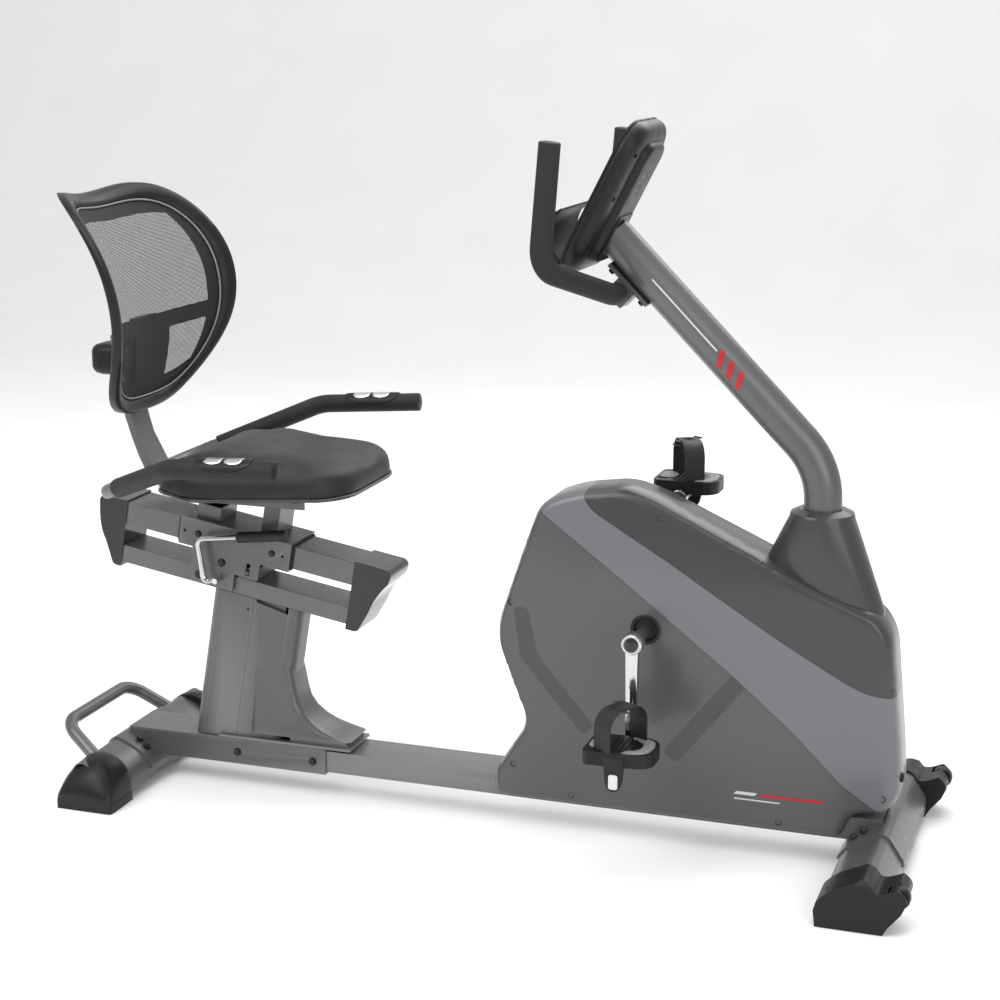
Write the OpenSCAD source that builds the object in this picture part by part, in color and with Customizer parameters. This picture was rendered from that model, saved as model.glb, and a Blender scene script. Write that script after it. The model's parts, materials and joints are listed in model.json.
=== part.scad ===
// Recumbent exercise bike. Millimetres, +X to the console end, +Y to the rider's left, floor at Z = 0.

/* [Base] */
// Half length of the front stabiliser, over its feet
front_foot_y = 276; // [240:1:320]
// Half length of the rear stabiliser, over its feet
rear_foot_y = 236; // [210:1:280]
// Height of the underside of the main beam
beam_z = 46; // [44:0.5:50]

/* [Seat rails] */
// Downward tilt of the rails towards the pedals, degrees
rail_tilt = 9.7; // [8:0.1:11]
// Half width of both rails
rail_half = 40; // [36:1:42]

/* [Drive] */
// Height of the crank axle
crank_z = 369; // [360:1:375]
// Length of a crank arm, centre to centre
crank_len = 170; // [160:1:172]

/* [Seat] */
// Half width of the seat cushion
seat_half = 205; // [180:1:210]
// Height of the underside of the cushion
seat_z = 548; // [545:1:555]
// Half distance between the seat grips, at their ends
grip_y = 305; // [290:1:310]

/* [Upper body] */
// Diameter of the console post
post_d = 60; // [50:1:60]
// Half distance between the front grips
bar_y = 205; // [180:1:210]

/* [Hidden] */
$fn = 48;

frame_grey = "#5f6163";
black = "#26272a";
front_x = 671;
rear_x = -641;
beam_top = beam_z + 38;
rail_o = [-430, 0, 464];
lower_top = -80.5;
lower_bot = -110.5;
crank_x = 298;
wheel_x = 742;
wheel_z = 57;
fly_x = 500;
fly_z = 265;
pulley_y = 24;
bar_r = 12.5;
post_x = 563;
screen_half = 66;

function unit(v) = v / norm(v);
function arc(c, r, a0, a1, n) = [for (i = [0:n]) let (a = a0 + (a1 - a0) * i / n) c + r * [cos(a), sin(a)]];
function bez(p, q, r, n = 6) = [for (i = [0:n]) let (t = i / n) p * pow(1 - t, 2) + q * 2 * t * (1 - t) + r * t * t];
function flip_y(p) = [p[0], -p[1], p[2]];
function back(l) = [for (i = [len(l) - 1:-1:0]) l[i]];

// ---- shared shapes ----
module both_sides() {
    children();
    mirror([0, 1, 0]) children();
}
module on_rail() translate(rail_o) rotate([0, rail_tilt, 0]) children();
// A side outline in X and Z, extruded from y0 to y1
module side(y0, y1) translate([0, y1, 0]) rotate([90, 0, 0]) linear_extrude(y1 - y0) children();
// An outline in Y and Z, extruded from x0 to x1
module across(x0, x1) translate([x0, 0, 0]) rotate([90, 0, 90]) linear_extrude(x1 - x0) children();
module box(a, b) translate(a) cube(b - a);
module ring2d(r, wall) difference() {
    circle(r);
    if (wall < r) circle(r - wall);
}
module rod(p, q, r, wall = 1000) {
    d = q - p;
    translate(p) rotate([0, acos(d[2] / norm(d)), atan2(d[1], d[0])]) linear_extrude(norm(d)) ring2d(r, wall);
}
// Points along pts with every corner bent to radius bend, n steps to a corner
function bend_path(pts, bend, n = 6) = let (m = len(pts) - 1) concat([pts[0]], [for (i = [1:m - 1])
    let (a = unit(pts[i] - pts[i - 1]), b = unit(pts[i + 1] - pts[i]), g = acos(a * b), w = unit(b - a * (a * b)),
        c = pts[i] - a * (bend * tan(g / 2)) + w * bend)
    each [for (k = [0:n]) c + bend * (a * sin(g * k / n) - w * cos(g * k / n))]], [pts[m]]);
function tangent(p, i) = unit(p[min(i + 1, len(p) - 1)] - p[max(i - 1, 0)]);
// Side direction at each point, carried along the path without twist
function carried(p, i, d) = let (t = tangent(p, i), n = unit(d - t * (d * t)))
    i == len(p) - 1 ? [n] : concat([n], carried(p, i + 1, n));
// Round tube along bend_path, hollow where inner is given
module bent_tube(pts, r, bend, inner = 0, sides = 20) {
    p = bend_path(pts, bend);
    t0 = tangent(p, 0);
    nrm = carried(p, 0, abs(t0[1]) > 0.9 ? [0, 0, 1] : [0, 1, 0]);
    m = len(p);
    rs = inner > 0 ? [r, inner] : [r];
    pt = [for (q = rs, i = [0:m - 1], k = [0:sides - 1]) let (t = tangent(p, i), n = nrm[i], a = 360 * k / sides)
        p[i] + q * (n * cos(a) + cross(t, n) * sin(a))];
    o = m * sides;
    e = (m - 1) * sides;
    wall = [for (i = [0:m - 2], k = [0:sides - 1]) let (j = (k + 1) % sides, u = i * sides)
        each [[u + k, u + j, u + sides + j], [u + k, u + sides + j, u + sides + k]]];
    skin = [for (f = wall) [f[0], f[2], f[1]]];
    ends = inner > 0 ? [for (k = [0:sides - 1]) let (j = (k + 1) % sides)
        each [[k, o + j, o + k], [k, j, o + j], [e + k, o + e + j, e + j], [e + k, o + e + k, o + e + j]]]
        : [[for (k = [0:sides - 1]) k], [for (k = [0:sides - 1]) e + sides - 1 - k]];
    inside = inner > 0 ? [for (f = wall) [f[0] + o, f[1] + o, f[2] + o]] : [];
    polyhedron(pt, concat(skin, ends, inside));
}

// ---- base ----
// Stabiliser section: s is the side the ridge leans to, g grows it
function stab(s, g = 0) = let (k = 1 + g / 50) [for (p = concat([[-50, 14], [-50, 22]],
    bez([-46, 34], [-34, 60], [8, 74]), bez([12, 76], [20, 79], [29, 71]), [[50, 40], [52, 30], [52, 14]]))
    [s * (2 + (p[0] - 2) * k), p[1] < 15 ? 14 - g : 14 + (p[1] - 14) * (1 + g / 60)]];
module stab_tube(x, s, half) difference() {
    translate([x, 0, 0]) side(-half, half) polygon(stab(s));
    translate([x, 0, 0]) side(-half - 1, half + 1) polygon(stab(s, -2.5));
}
module saddle(x, s) intersection() {
    difference() {
        translate([x, 0, 0]) side(-85, 85) polygon(stab(s, 3.6));
        translate([x, 0, 0]) side(-86, 86) polygon(stab(s, 0.15));
    }
    box([x - 90, -90, 30], [x + 90, 90, 90]);
}
module front_beam() color(frame_grey) {
    difference() {
        box([-455, -40, beam_z], [front_x + 12, 40, beam_top]);
        box([-456, -37.5, beam_z + 2.5], [front_x + 20, 37.5, beam_top - 2.5]);
        translate([front_x, 0, 0]) side(-60, 60) polygon(stab(1, 0.15));
    }
    difference() {
        saddle(front_x, 1);
        box([0, -37, 0], [front_x + 12, 37, 81]);
    }
}
module rear_beam() color(frame_grey) {
    difference() {
        box([rear_x - 14, -44, beam_z - 4], [-275, 44, beam_top + 4]);
        box([rear_x - 30, -40.3, beam_z - 0.3], [-270, 40.3, beam_top + 0.3]);
        translate([rear_x, 0, 0]) side(-60, 60) polygon(stab(-1, 0.15));
        for (x = [-443, -299]) rod([x, -60, 64], [x, 60, 64], 4.2);
    }
    difference() {
        saddle(rear_x, -1);
        box([rear_x - 14, -41, 0], [0, 41, 84]);
    }
}
module rear_stabiliser() color(frame_grey) stab_tube(rear_x, -1, rear_foot_y - 26);
module front_stabiliser() color(frame_grey) stab_tube(front_x, 1, front_foot_y - 40);
module rear_feet() color(black) both_sides() difference() {
    intersection() {
        translate([rear_x, 0, 0]) side(-rear_foot_y, -rear_foot_y + 77)
            polygon(concat([[52, 0], [52, 26]], bez([50, 34], [44, 58], [-2, 78]), bez([-8, 81], [-20, 84], [-32, 75]),
                [[-51, 46], [-54, 26], [-54, 0]]));
        translate([-800, -rear_foot_y, 0]) across(0, 400)
            polygon(concat([[77, 0], [77, 90], [60, 90]], bez([58, 84], [22, 62], [0, 24]), [[0, 0]]));
    }
    translate([rear_x, 0, 0]) side(-rear_foot_y + 26, -100) polygon(stab(-1, 0.2));
}
module front_feet() color(black) both_sides() {
    difference() {
        intersection() {
            translate([front_x, 0, 0]) side(-front_foot_y, -front_foot_y + 72)
                polygon(concat([[-51, 0], [-54, 26]], bez([-50, 40], [-34, 62], [8, 77]), bez([12, 80], [20, 83], [30, 74]),
                    bez([36, 66], [42, 62], [56, 68]), bez([70, 74], [84, 66], [84, 54]), [[76, 36], [58, 14], [50, 0]]));
            translate([0, -front_foot_y, 0]) across(500, 900)
                polygon([[72, 0], [72, 90], [20, 86], [0, 74], [0, 0]]);
        }
        translate([front_x, 0, 0]) side(-front_foot_y + 40, -100) polygon(stab(1, 0.2));
        rod([wheel_x, -front_foot_y + 8, wheel_z], [wheel_x, -front_foot_y + 32, wheel_z], 19.5);
        box([wheel_x, -front_foot_y + 8, 20], [wheel_x + 30, -front_foot_y + 32, 90]);
    }
    rod([wheel_x, -front_foot_y + 6, wheel_z], [wheel_x, -front_foot_y + 34, wheel_z], 4);
}
module transport_handle() color(frame_grey) difference() {
    bent_tube([[-668, -138, 56], [-744, -112, 106], [-744, 112, 106], [-668, 138, 56]], 11.5, 42, 9.5);
    translate([rear_x, 0, 0]) side(-200, 200) polygon(stab(-1, 0.1));
}
module wheel(s) color(black) translate([wheel_x, s * (front_foot_y - 20), wheel_z]) rotate([90, 0, 0])
    rotate_extrude() polygon(concat([[4.1, -10], [15, -10]], arc([12, 0], 5, -60, 60, 8), [[15, 10], [4.1, 10]]));
module wheel_right() wheel(-1);
module wheel_left() wheel(1);

// ---- seat column and rails ----
module seat_column() color(frame_grey) intersection() {
    on_rail() difference() {
        box([-22, -28, -440], [102, 28, lower_bot - 0.1]);
        box([-19, -25, -441], [99, 25, -100]);
    }
    box([-700, -50, beam_top + 4.1], [0, 50, 500]);
}
// Column outline in plan, from s0 back to s1 front, with corner radius r
module column_plan(s0, s1, h, r) translate([(s0 + s1) / 2, 0]) {
    square([s1 - s0, 2 * (h - r)], true);
    square([s1 - s0 - 2 * r, 2 * h], true);
    for (i = [-1, 1], j = [-1, 1]) translate([i * ((s1 - s0) / 2 - r), j * (h - r)]) circle(r);
}
module column_shell(lo, hi) difference() {
    on_rail() translate([0, 0, -430]) linear_extrude(430 + lower_bot - 2) difference() {
        column_plan(-39, 131, 36, 24);
        column_plan(-36.4, 128.4, 33.4, 21.4);
    }
    on_rail() box([-300, -60, -500], [lo, 60, 0]);
    on_rail() box([hi, -60, -500], [400, 60, 0]);
    box([-700, -60, 0], [0, 60, beam_top + 5]);
}
module column_cover_rear() color(frame_grey) difference() {
    column_shell(-60, 43.5);
    box([-478.4, -44.4, 0], [-227, 44.4, beam_top + 9.4]);
    on_rail() rod([35, -60, lower_bot - 24], [35, 60, lower_bot - 24], 2);
}
module column_cover_front() color(frame_grey) {
    difference() {
        column_shell(44, 200);
        box([-500, -60, 0], [-200, 60, 92.5]);
        on_rail() translate([50, 0, 0]) side(-60, 60) polygon([[-1, -111], [-1, -118], [60, -125], [60, -111]]);
    }
    difference() {
        union() {
            box([-478, -44, beam_top + 4.6], [-228, 44, beam_top + 9]);
            side(-35, 35) polygon(concat([[-345, 92], [-345, 190], [-341, 190]], bez([-338, 160], [-330, 128], [-262, 106]),
                [[-236, 98], [-236, 92]]));
        }
        side(-32, 32) polygon(concat([[-346, 80], [-346, 180]], bez([-344, 158], [-334, 126], [-264, 103]), [[-250, 96], [-250, 80]]));
        on_rail() translate([0, 0, -450]) linear_extrude(400) column_plan(-36.4, 131.1, 33.4, 21.4);
        box([-479, -33, 80], [-346, 33, 100]);
    }
}
module rail(z0, z1, wall) on_rail() difference() {
    box([-222, -rail_half, z0], [228, rail_half, z1]);
    box([-223, -rail_half + wall, z0 + wall], [229, rail_half - wall, z1 - wall]);
}
module upper_rail() color(frame_grey) rail(-40, 0, 2);
module lower_rail() color(frame_grey) rail(lower_bot, lower_top, 2);
module cap_shell(pts) difference() {
    on_rail() side(-42.5, 42.5) polygon(pts);
    for (z = [[-40.2, 0.2], [lower_bot - 0.2, lower_top + 0.2]])
        on_rail() box([-222.2, -rail_half - 0.2, z[0]], [228.2, rail_half + 0.2, z[1]]);
}
module rail_caps() color(black) {
    cap_shell(concat([[219, -119], [219, 3], [268, 3]], arc([274, -9], 12, 80, 0, 6),
        bez([283, -22], [262, -50], [256, -80]), [[242, -116], [236, -119]]));
    cap_shell(concat([[-213, -119], [-213, 3], [-255, 1]], arc([-258, -9], 10, 100, 180, 5),
        bez([-266, -25], [-262, -60], [-248, -78]), [[-230, -116], [-224, -119]]));
}

// ---- drive housing ----
// Side outline of the housing
function housing_side() = concat([[36, 46], [36, 90], [53, 118], [92, 172]], bez([96, 182], [97, 190], [92, 202]),
    [[44, 296]], bez([38, 316], [37, 344], [46, 374]), [[112, 556]], bez([118, 572], [170, 586], [250, 592]),
    [[300, 580], [520, 478], [664, 417]], bez([676, 405], [690, 340], [706, 190]), [[709, 126], [684, 93], [634, 90], [622, 46]]);
// Half width of the housing against height, grown by g
function housing_front(g) = concat([[-46 - g, 40], [-50 - g, 70], [-67 - g, 190], [-67 - g, 440], [-50 - g, 560], [-36, 620]],
    [[36, 620], [50 + g, 560], [67 + g, 440], [67 + g, 190], [50 + g, 70], [46 + g, 40]]);
// Half width of the housing along its length, grown by g
function housing_plan(g) = concat([[0, -32 - g], [60, -52 - g], [150, -67 - g], [520, -67 - g], [700, -44 - g], [716, -30]],
    [[716, 30], [700, 44 + g], [520, 67 + g], [150, 67 + g], [60, 52 + g], [0, 32 + g]]);
module housing_solid(g) intersection() {
    side(-90, 90) polygon(housing_side());
    across(-50, 800) polygon(housing_front(g));
    linear_extrude(700) polygon(housing_plan(g));
}
// Region of the dark cover above the stripe, and of the stripe itself, in X and Z
stripe_top = concat([[205, 553], [338, 479], [507, 376], [621, 309]], bez([650, 295], [670, 290], [720, 290], 3));
stripe_low = [[700, 92], [680, 96], [620, 141], [540, 224], [441, 308], [257, 449], [120, 546]];
module cover_region() polygon(concat(stripe_top, [[720, 640], [240, 640], [186, 572]]));
module stripe_region() polygon(concat(stripe_low, [[140, 588], [196, 600], [186, 572]], stripe_top, [[720, 92]]));
module housing_inside(g) intersection() {
    side(-90, 90) polygon(concat([[40, 40], [40, 90], [57, 118], [98, 172]], bez([102, 184], [103, 192], [97, 204]),
        [[48, 298]], bez([42, 316], [41, 344], [50, 372]), [[115, 552]], bez([120, 568], [172, 582], [250, 588]),
        [[298, 576], [518, 474], [660, 414]], bez([672, 402], [686, 340], [702, 190]), [[705, 128], [682, 97], [631, 94], [618, 40]]));
    across(-50, 800) polygon(housing_front(-3 + g));
    linear_extrude(700) polygon(housing_plan(-3 + g));
}
module half_housing(s) difference() {
    housing_solid(0);
    housing_inside(0);
    box([-50, s > 0 ? -100 : 0, 0], [800, s > 0 ? 0 : 100, 700]);
    side(-100, 100) cover_region();
    box([0, -40.5, 0], [760, 40.5, beam_top + 0.5]);
    translate([front_x, 0, 0]) side(-100, 100) polygon(stab(1, 4.2));
    rod([crank_x, -100, crank_z], [crank_x, 100, crank_z], 21);
    rod([690, -24, 155], [720, -24, 155], 8.3);
}
module shroud_right() color(frame_grey) half_housing(-1);
module shroud_left() color(frame_grey) half_housing(1);
module side_trims() color("#85878c") both_sides() difference() {
    intersection() {
        housing_solid(2.4);
        side(-90, -20) stripe_region();
    }
    housing_solid(0.05);
}
module top_cover() color("#4b4d4f") difference() {
    intersection() {
        housing_solid(1.2);
        side(-90, 90) cover_region();
    }
    housing_inside(1);
    side(-100, 100) polygon(concat(stripe_low, stripe_top));
    translate([post_x, 0, 380]) cylinder(r = post_d / 2 + 3, h = 160);
}
module post_cone() color(frame_grey) difference() {
    intersection() {
        translate([post_x, 0, 0]) hull() {
            translate([-1, 0, 411.5]) scale([1.02, 0.5]) cylinder(r = 100, h = 1, $fn = 32);
            translate([-41, 0, 475]) scale([1, 0.66]) cylinder(r = 84, h = 1, $fn = 32);
            translate([0, 0, 562]) cylinder(r = 50, h = 1, $fn = 32);
            translate([0, 0, 572]) cylinder(r = 48, h = 1, $fn = 32);
            translate([0, 0, 577]) cylinder(r = 38, h = 1, $fn = 32);
        }
        side(-100, 100) polygon([[430, 700], [430, 520.3], [520, 478.6], [664, 417.6], [700, 402], [700, 700]]);
    }
    translate([post_x, 0, 0]) hull() {
        translate([-1, 0, 400]) scale([1, 0.48]) cylinder(r = 92, h = 1, $fn = 32);
        translate([-37, 0, 475]) scale([1, 0.62]) cylinder(r = 74, h = 1, $fn = 32);
        translate([0, 0, 562]) cylinder(r = 38, h = 1, $fn = 32);
    }
    translate([post_x, 0, 400]) cylinder(r = post_d / 2 + 0.6, h = 200);
}
// Corner and top of the post's centre line
post_line = [[post_x, 0, 640], [203, 0, 1005]];
module post_tube() color(frame_grey) difference() {
    bent_tube([[post_x, 0, 396], post_line[0], post_line[1]], post_d / 2, 130, post_d / 2 - 2.5, 32);
    on_console() box([-100, -100, -300], [27.1, 100, 300]);
}

// ---- drive ----
magnet_pin = [fly_x + 128 * cos(-80), fly_z + 128 * sin(-80)];
module drive_frame() color("#3c3e40") difference() {
    union() {
        rod([crank_x, -34, crank_z], [crank_x, 8, crank_z], 22);
        box([crank_x - 20, -30, beam_top], [crank_x + 20, -22, crank_z]);
        box([crank_x - 20, -10, beam_top], [crank_x + 20, -2, crank_z]);
        for (y = [-38, 30]) box([fly_x - 14, y, beam_top], [fly_x + 14, y + 5, fly_z + 14]);
        for (y = [-37, 33]) box([post_x - 35, y, beam_top], [post_x + 35, y + 4, 392]);
        box([post_x - 35, -37, 386], [post_x + 35, 37, 392]);
        rod([post_x, 0, 392], [post_x, 0, 470], post_d / 2 - 2.8, 3);
        rod([fly_x, -44, fly_z], [fly_x, 42, fly_z], 6);
        for (y = [-31, 13]) box([magnet_pin[0] - 7, y, beam_top], [magnet_pin[0] + 7, y + 4, magnet_pin[1] + 7]);
        rod([magnet_pin[0], -33, magnet_pin[1]], [magnet_pin[0], 19, magnet_pin[1]], 2.95);
    }
    rod([crank_x, -60, crank_z], [crank_x, 60, crank_z], 18);
}
module crank_bearings() color("#9a9c9e") for (y = [-34, -4]) rod([crank_x, y, crank_z], [crank_x, y + 12, crank_z], 17.98, 9.43);
module crank_axle() color("#9a9c9e") {
    rod([crank_x, -148, crank_z], [crank_x, 148, crank_z], 8.5);
}
module drive_pulley() color(black) difference() {
    union() {
        rod([crank_x, pulley_y - 8, crank_z], [crank_x, pulley_y + 8, crank_z], 105, 16);
        rod([crank_x, pulley_y - 3, crank_z], [crank_x, pulley_y + 3, crank_z], 95);
        rod([crank_x, pulley_y - 10, crank_z], [crank_x, pulley_y + 10, crank_z], 24);
    }
    rod([crank_x, -60, crank_z], [crank_x, 60, crank_z], 8.6);
    for (a = [0:60:300]) translate([crank_x + 58 * cos(a), 0, crank_z + 58 * sin(a)])
        rotate([90, 0, 0]) cylinder(r = 20, h = 100, center = true);
}
module flywheel() color("#7d7f82") difference() {
    union() {
        rod([fly_x, -20, fly_z], [fly_x, 4, fly_z], 118, 34);
        rod([fly_x, -12, fly_z], [fly_x, -4, fly_z], 90);
        rod([fly_x, -24, fly_z], [fly_x, 28, fly_z], 15);
    }
    rod([fly_x, -60, fly_z], [fly_x, 60, fly_z], 6.06);
}
module drive_belt() color(black) {
    d = [fly_x - crank_x, fly_z - crank_z];
    a = atan2(d[1], d[0]);
    l = norm(d);
    translate([crank_x, 0, crank_z]) rotate([0, -a, 0]) side(pulley_y - 5, pulley_y + 5) difference() {
        hull() {
            circle(108.2, $fn = 64);
            translate([l, 0]) circle(18.2, $fn = 32);
        }
        hull() {
            circle(105.6, $fn = 64);
            translate([l, 0]) circle(15.6, $fn = 32);
        }
    }
}
module magnet_bracket() color("#9a9c9e") difference() {
    side(-26, 12) polygon(concat(arc([fly_x, fly_z], 134, -125, -75, 8), arc([fly_x, fly_z], 122, -75, -125, 8)));
    rod([magnet_pin[0], -60, magnet_pin[1]], [magnet_pin[0], 60, magnet_pin[1]], 3);
}
module resistance_motor() color(black) {
    box([390, -30, beam_top + 0.2], [430, 14, 128]);
    box([396, -12, 128], [424, 12, 134]);
}
module power_inlet() color(black) difference() {
    rod([692, -24, 155], [711, -24, 155], 8);
    rod([695, -24, 155], [712, -24, 155], 5.4);
}
// One crank arm with its hub boss, s = side, d = direction of the arm
module crank_arm(s, d) {
    difference() {
        union() {
            rod([crank_x, s * 128, crank_z], [crank_x, s * 151, crank_z], 17);
            rod([crank_x, s * 134, crank_z + d * crank_len], [crank_x, s * 149, crank_z + d * crank_len], 14);
            box([crank_x - 10, min(s * 136, s * 149), crank_z + (d > 0 ? 10 : -crank_len)],
                [crank_x + 10, max(s * 136, s * 149), crank_z + (d > 0 ? crank_len : -10)]);
        }
        rod([crank_x, s * 100, crank_z], [crank_x, s * 148, crank_z], 8.55);
        rod([crank_x, s * 100, crank_z + d * crank_len], [crank_x, s * 160, crank_z + d * crank_len], 7);
    }
}
module crank_arms() color("#d0d2d4") {
    crank_arm(-1, -1);
    crank_arm(1, 1);
}
// Pedal body with its spindle, standing on side s at height z
module pedal(s, z) translate([crank_x, 0, z]) mirror([0, s > 0 ? 0 : 1, 0]) difference() {
    union() {
        rod([0, 140, 0], [0, 240, 0], 6.9);
        rod([0, 151, 0], [0, 158, 0], 9);
        difference() {
            translate([0, 0, 2]) linear_extrude(22) polygon(concat(arc([28, 190], 30, -90, 0, 6), arc([34, 218], 24, 0, 80, 6),
                [[10, 246], [-36, 246]], arc([-40, 236], 12, 90, 180, 4), arc([-40, 172], 12, 180, 270, 4)));
            translate([0, 0, -1]) linear_extrude(13) polygon([[-38, 170], [34, 170], [40, 210], [20, 236], [-38, 236]]);
            box([-46, 176, 0], [-30, 226, 40]);
        }
        rod([0, 160, 0], [0, 240, 0], 11);
        translate([0, 247, -4]) rotate([90, 0, 0]) linear_extrude(7) polygon(concat([[-17, 20], [-14, -16]], arc([0, -22], 12, 200, 340, 6), [[14, -16], [17, 20]]));
    }
    rod([0, 243, -18], [0, 249, -18], 8);
}
// Toe strap: an arch over the pedal, turned outwards a little
module strap(s, z) translate([crank_x, 0, z]) mirror([0, s > 0 ? 0 : 1, 0])
    translate([0, 205, 0]) rotate([0, 0, 28]) across(-17, 17) difference() {
        polygon(concat([[-43, 24.2], [-43, 56]], arc([-15, 60], 28, 172, 90, 5), arc([13, 58], 30, 90, 8, 5), [[43, 24.2]]));
        polygon(concat([[-40, 20], [-40, 56]], arc([-15, 60], 25, 172, 90, 5), arc([13, 58], 27, 90, 8, 5), [[40, 20]]));
    }
module pedal_right() color(black) pedal(-1, crank_z - crank_len);
module pedal_left() color(black) pedal(1, crank_z + crank_len);
module strap_right() color(black) strap(-1, crank_z - crank_len);
module strap_left() color(black) strap(1, crank_z + crank_len);

// ---- console and front handlebar ----
// Console frame: x across its thickness to the rider, z up its face
module on_console() translate([222, 0, 1048]) rotate([0, 27, 0]) children();
module console_plan(w, h, r) {
    square([2 * (w - r), 2 * h], true);
    square([2 * w, 2 * (h - r)], true);
    for (i = [-1, 1], j = [-1, 1]) translate([i * (w - r), j * (h - r)]) circle(r);
}
module console_back() color(black) on_console() difference() {
    rotate([90, 0, 90]) {
        hull() {
            translate([0, 0, -12]) linear_extrude(1) console_plan(96, 126, 46, $fn = 32);
            translate([0, 0, 4]) linear_extrude(1) console_plan(92, 123, 46, $fn = 32);
            translate([0, 0, 16]) linear_extrude(1) console_plan(62, 114, 40, $fn = 32);
        }
        hull() {
            translate([0, 0, 12]) linear_extrude(1) console_plan(54, 106, 30, $fn = 32);
            translate([0, 0, 26]) linear_extrude(1) console_plan(44, 98, 26, $fn = 32);
        }
    }
    rotate([90, 0, 90]) hull() {
        translate([0, 0, -14]) linear_extrude(1) console_plan(93, 123, 43, $fn = 32);
        translate([0, 0, 2]) linear_extrude(1) console_plan(89, 120, 43, $fn = 32);
        translate([0, 0, 13]) linear_extrude(1) console_plan(59, 111, 37, $fn = 32);
    }
}
module console_face() color(black) on_console() difference() {
    rotate([90, 0, 90]) translate([0, 0, -16.1]) linear_extrude(4) console_plan(98, 128, 48);
    box([-20, -screen_half, -10], [-14, screen_half, 96]);
    for (y = [-44, 0, 44]) rod([-20, y, -52], [0, y, -52], 13);
}
module console_screen() color("#30363a") on_console() box([-16, 0.2 - screen_half, -9.8], [-14.2, screen_half - 0.2, 95.8]);
module button(y) color("#606468") on_console() {
    rod([-19, y, -52], [-11.2, y, -52], 12.4);
    rod([-11.8, y, -52], [-10.4, y, -52], 15);
}
module button_up() button(-44);
module button_down() button(0);
module button_start() button(44);
module tablet_ledge() color("#6c6f72") on_console() side(-80, 80)
    polygon(concat([[-16.3, -128], [-16.3, -118]], bez([-18, -112], [-60, -100], [-58, -62]), [[-50, -44], [-53, -42]],
        bez([-64, -60], [-68, -104], [-20, -128]), [[-18, -129]]));
// Centre of the front handlebar in its clamp
clamp = [237, 0, 902];
module handlebar_clamp() color("#3c3e40") difference() {
    translate(clamp) rotate([0, 45, 0]) {
        box([-44, -24, 13.5], [44, 24, 19.5]);
        box([-18, -26, -18], [18, 26, 13.5]);
    }
    rod(clamp - [0, 60, 0], clamp + [0, 60, 0], bar_r + 0.15);
    rod(post_line[0], post_line[1], post_d / 2 + 0.2);
}
front_bar = [clamp, clamp - [0, 60, 0], [162, -bar_y, 955], [177, -bar_y, 1139]];
// The whole bar from its right half h
function bar_path(h) = concat(back([for (i = [1:len(h) - 1]) h[i]]), [for (i = [1:len(h) - 1]) flip_y(h[i])]);
module front_handlebar() color(frame_grey) bent_tube(bar_path(front_bar), bar_r, 45, bar_r - 2, 16);
module front_grips() color(black) both_sides() bent_tube(
    [clamp - [0, 40, 0], front_bar[1], front_bar[2], front_bar[3] + [0.3, 0, 4]], 17, 45, bar_r + 0.2);
module frame_bolts() color(black) {
    for (x = [-443, -299]) both_sides() rod([x, -44.2, 64], [x, -49, 64], 7);
    for (y = [-64, 64]) {
        rod([rear_x + 28.7, y, 60], [rear_x + 32.3, y, 64.8], 7);
        rod([front_x - 28.7, y, 60], [front_x - 32.3, y, 64.8], 7);
    }
}
module shroud_screws() color("#151618") both_sides() {
    for (x = [172, 519]) rod([x, -49.4, 62], [x, -51, 62], 4.9);
    for (z = [110, 390]) rod([75, -55, z], [75, -56.5, z], 4.9);
}

// ---- seat ----
module carriage_sleeve() color(frame_grey) difference() {
    on_rail() carriage_plates();
    rod(lever_pin, lever_pin + [0, 120, 0], 5.06);
}
module carriage_plates() difference() {
    union() {
        box([-106, -48, -45], [104, 48, 5]);
        both_sides() box([-78, -48, lower_bot + 4], [6, -44.5, -44]);
        both_sides() box([5, -48, -75], [50, -44.5, -44]);
    }
    box([-107, -44, -41.5], [105, 44, 1.6]);
    for (x = [-96, 90]) rod([x, -60, -20], [x, 60, -20], 2.5);
    box([26.2, -60, -71], [33.8, 60, -49]);
}
module sleeve_bushings() color(black) on_rail() for (x = [-110, 92]) difference() {
    box([x, -43.9, -41.4], [x + 16, 43.9, 1.5]);
    box([x - 1, -rail_half - 0.4, -40.4], [x + 17, rail_half + 0.4, 0.4]);
}
module seat_bracket() color(black) {
    on_rail() difference() {
        union() {
            box([38, -32, 5.1], [68, 32, 60]);
            box([-84, -32, 5.1], [-40, 32, 30]);
        }
        box([41, -29, 0], [65, 29, 80]);
        box([-81, -29, 0], [-43, 29, 80]);
    }
    difference() {
        box([-506, -52, seat_z - 34], [-300, 52, seat_z - 0.2]);
        box([-520, -48, seat_z - 60], [-290, 48, seat_z - 5]);
        on_rail() box([-400, -100, -200], [400, 100, 5.1]);
    }
}
// Seat outline in plan, inset by g
module seat_plan(g) polygon(concat(
    arc([-466, -120], 62 - g, 180, 250, 5), arc([-430, -seat_half + 76], 76 - g, 255, 300, 5),
    arc([-290, -62], 96 - g, 305, 360, 6), arc([-290, 62], 96 - g, 0, 55, 6),
    arc([-430, seat_half - 76], 76 - g, 60, 105, 5), arc([-466, 120], 62 - g, 110, 180, 5)));
module seat_cushion() color(black) hull() {
    translate([0, 0, seat_z]) linear_extrude(8) seat_plan(0);
    translate([0, 0, seat_z + 44]) linear_extrude(1) seat_plan(4);
    translate([0, 0, seat_z + 60]) linear_extrude(1) seat_plan(30);
}
// Backrest support bar in side view
module backrest_bar() color(frame_grey) side(-30, 30) polygon(concat(
    [[-470, 514]], bez([-520, 514], [-594, 508], [-622, 580], 6), bez([-634, 612], [-652, 668], [-660, 700], 4), [[-668, 790]],
    [[-649, 790]], bez([-642, 700], [-638, 664], [-622, 614], 4), bez([-604, 580], [-590, 542], [-520, 541], 6), [[-470, 541]]));
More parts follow.
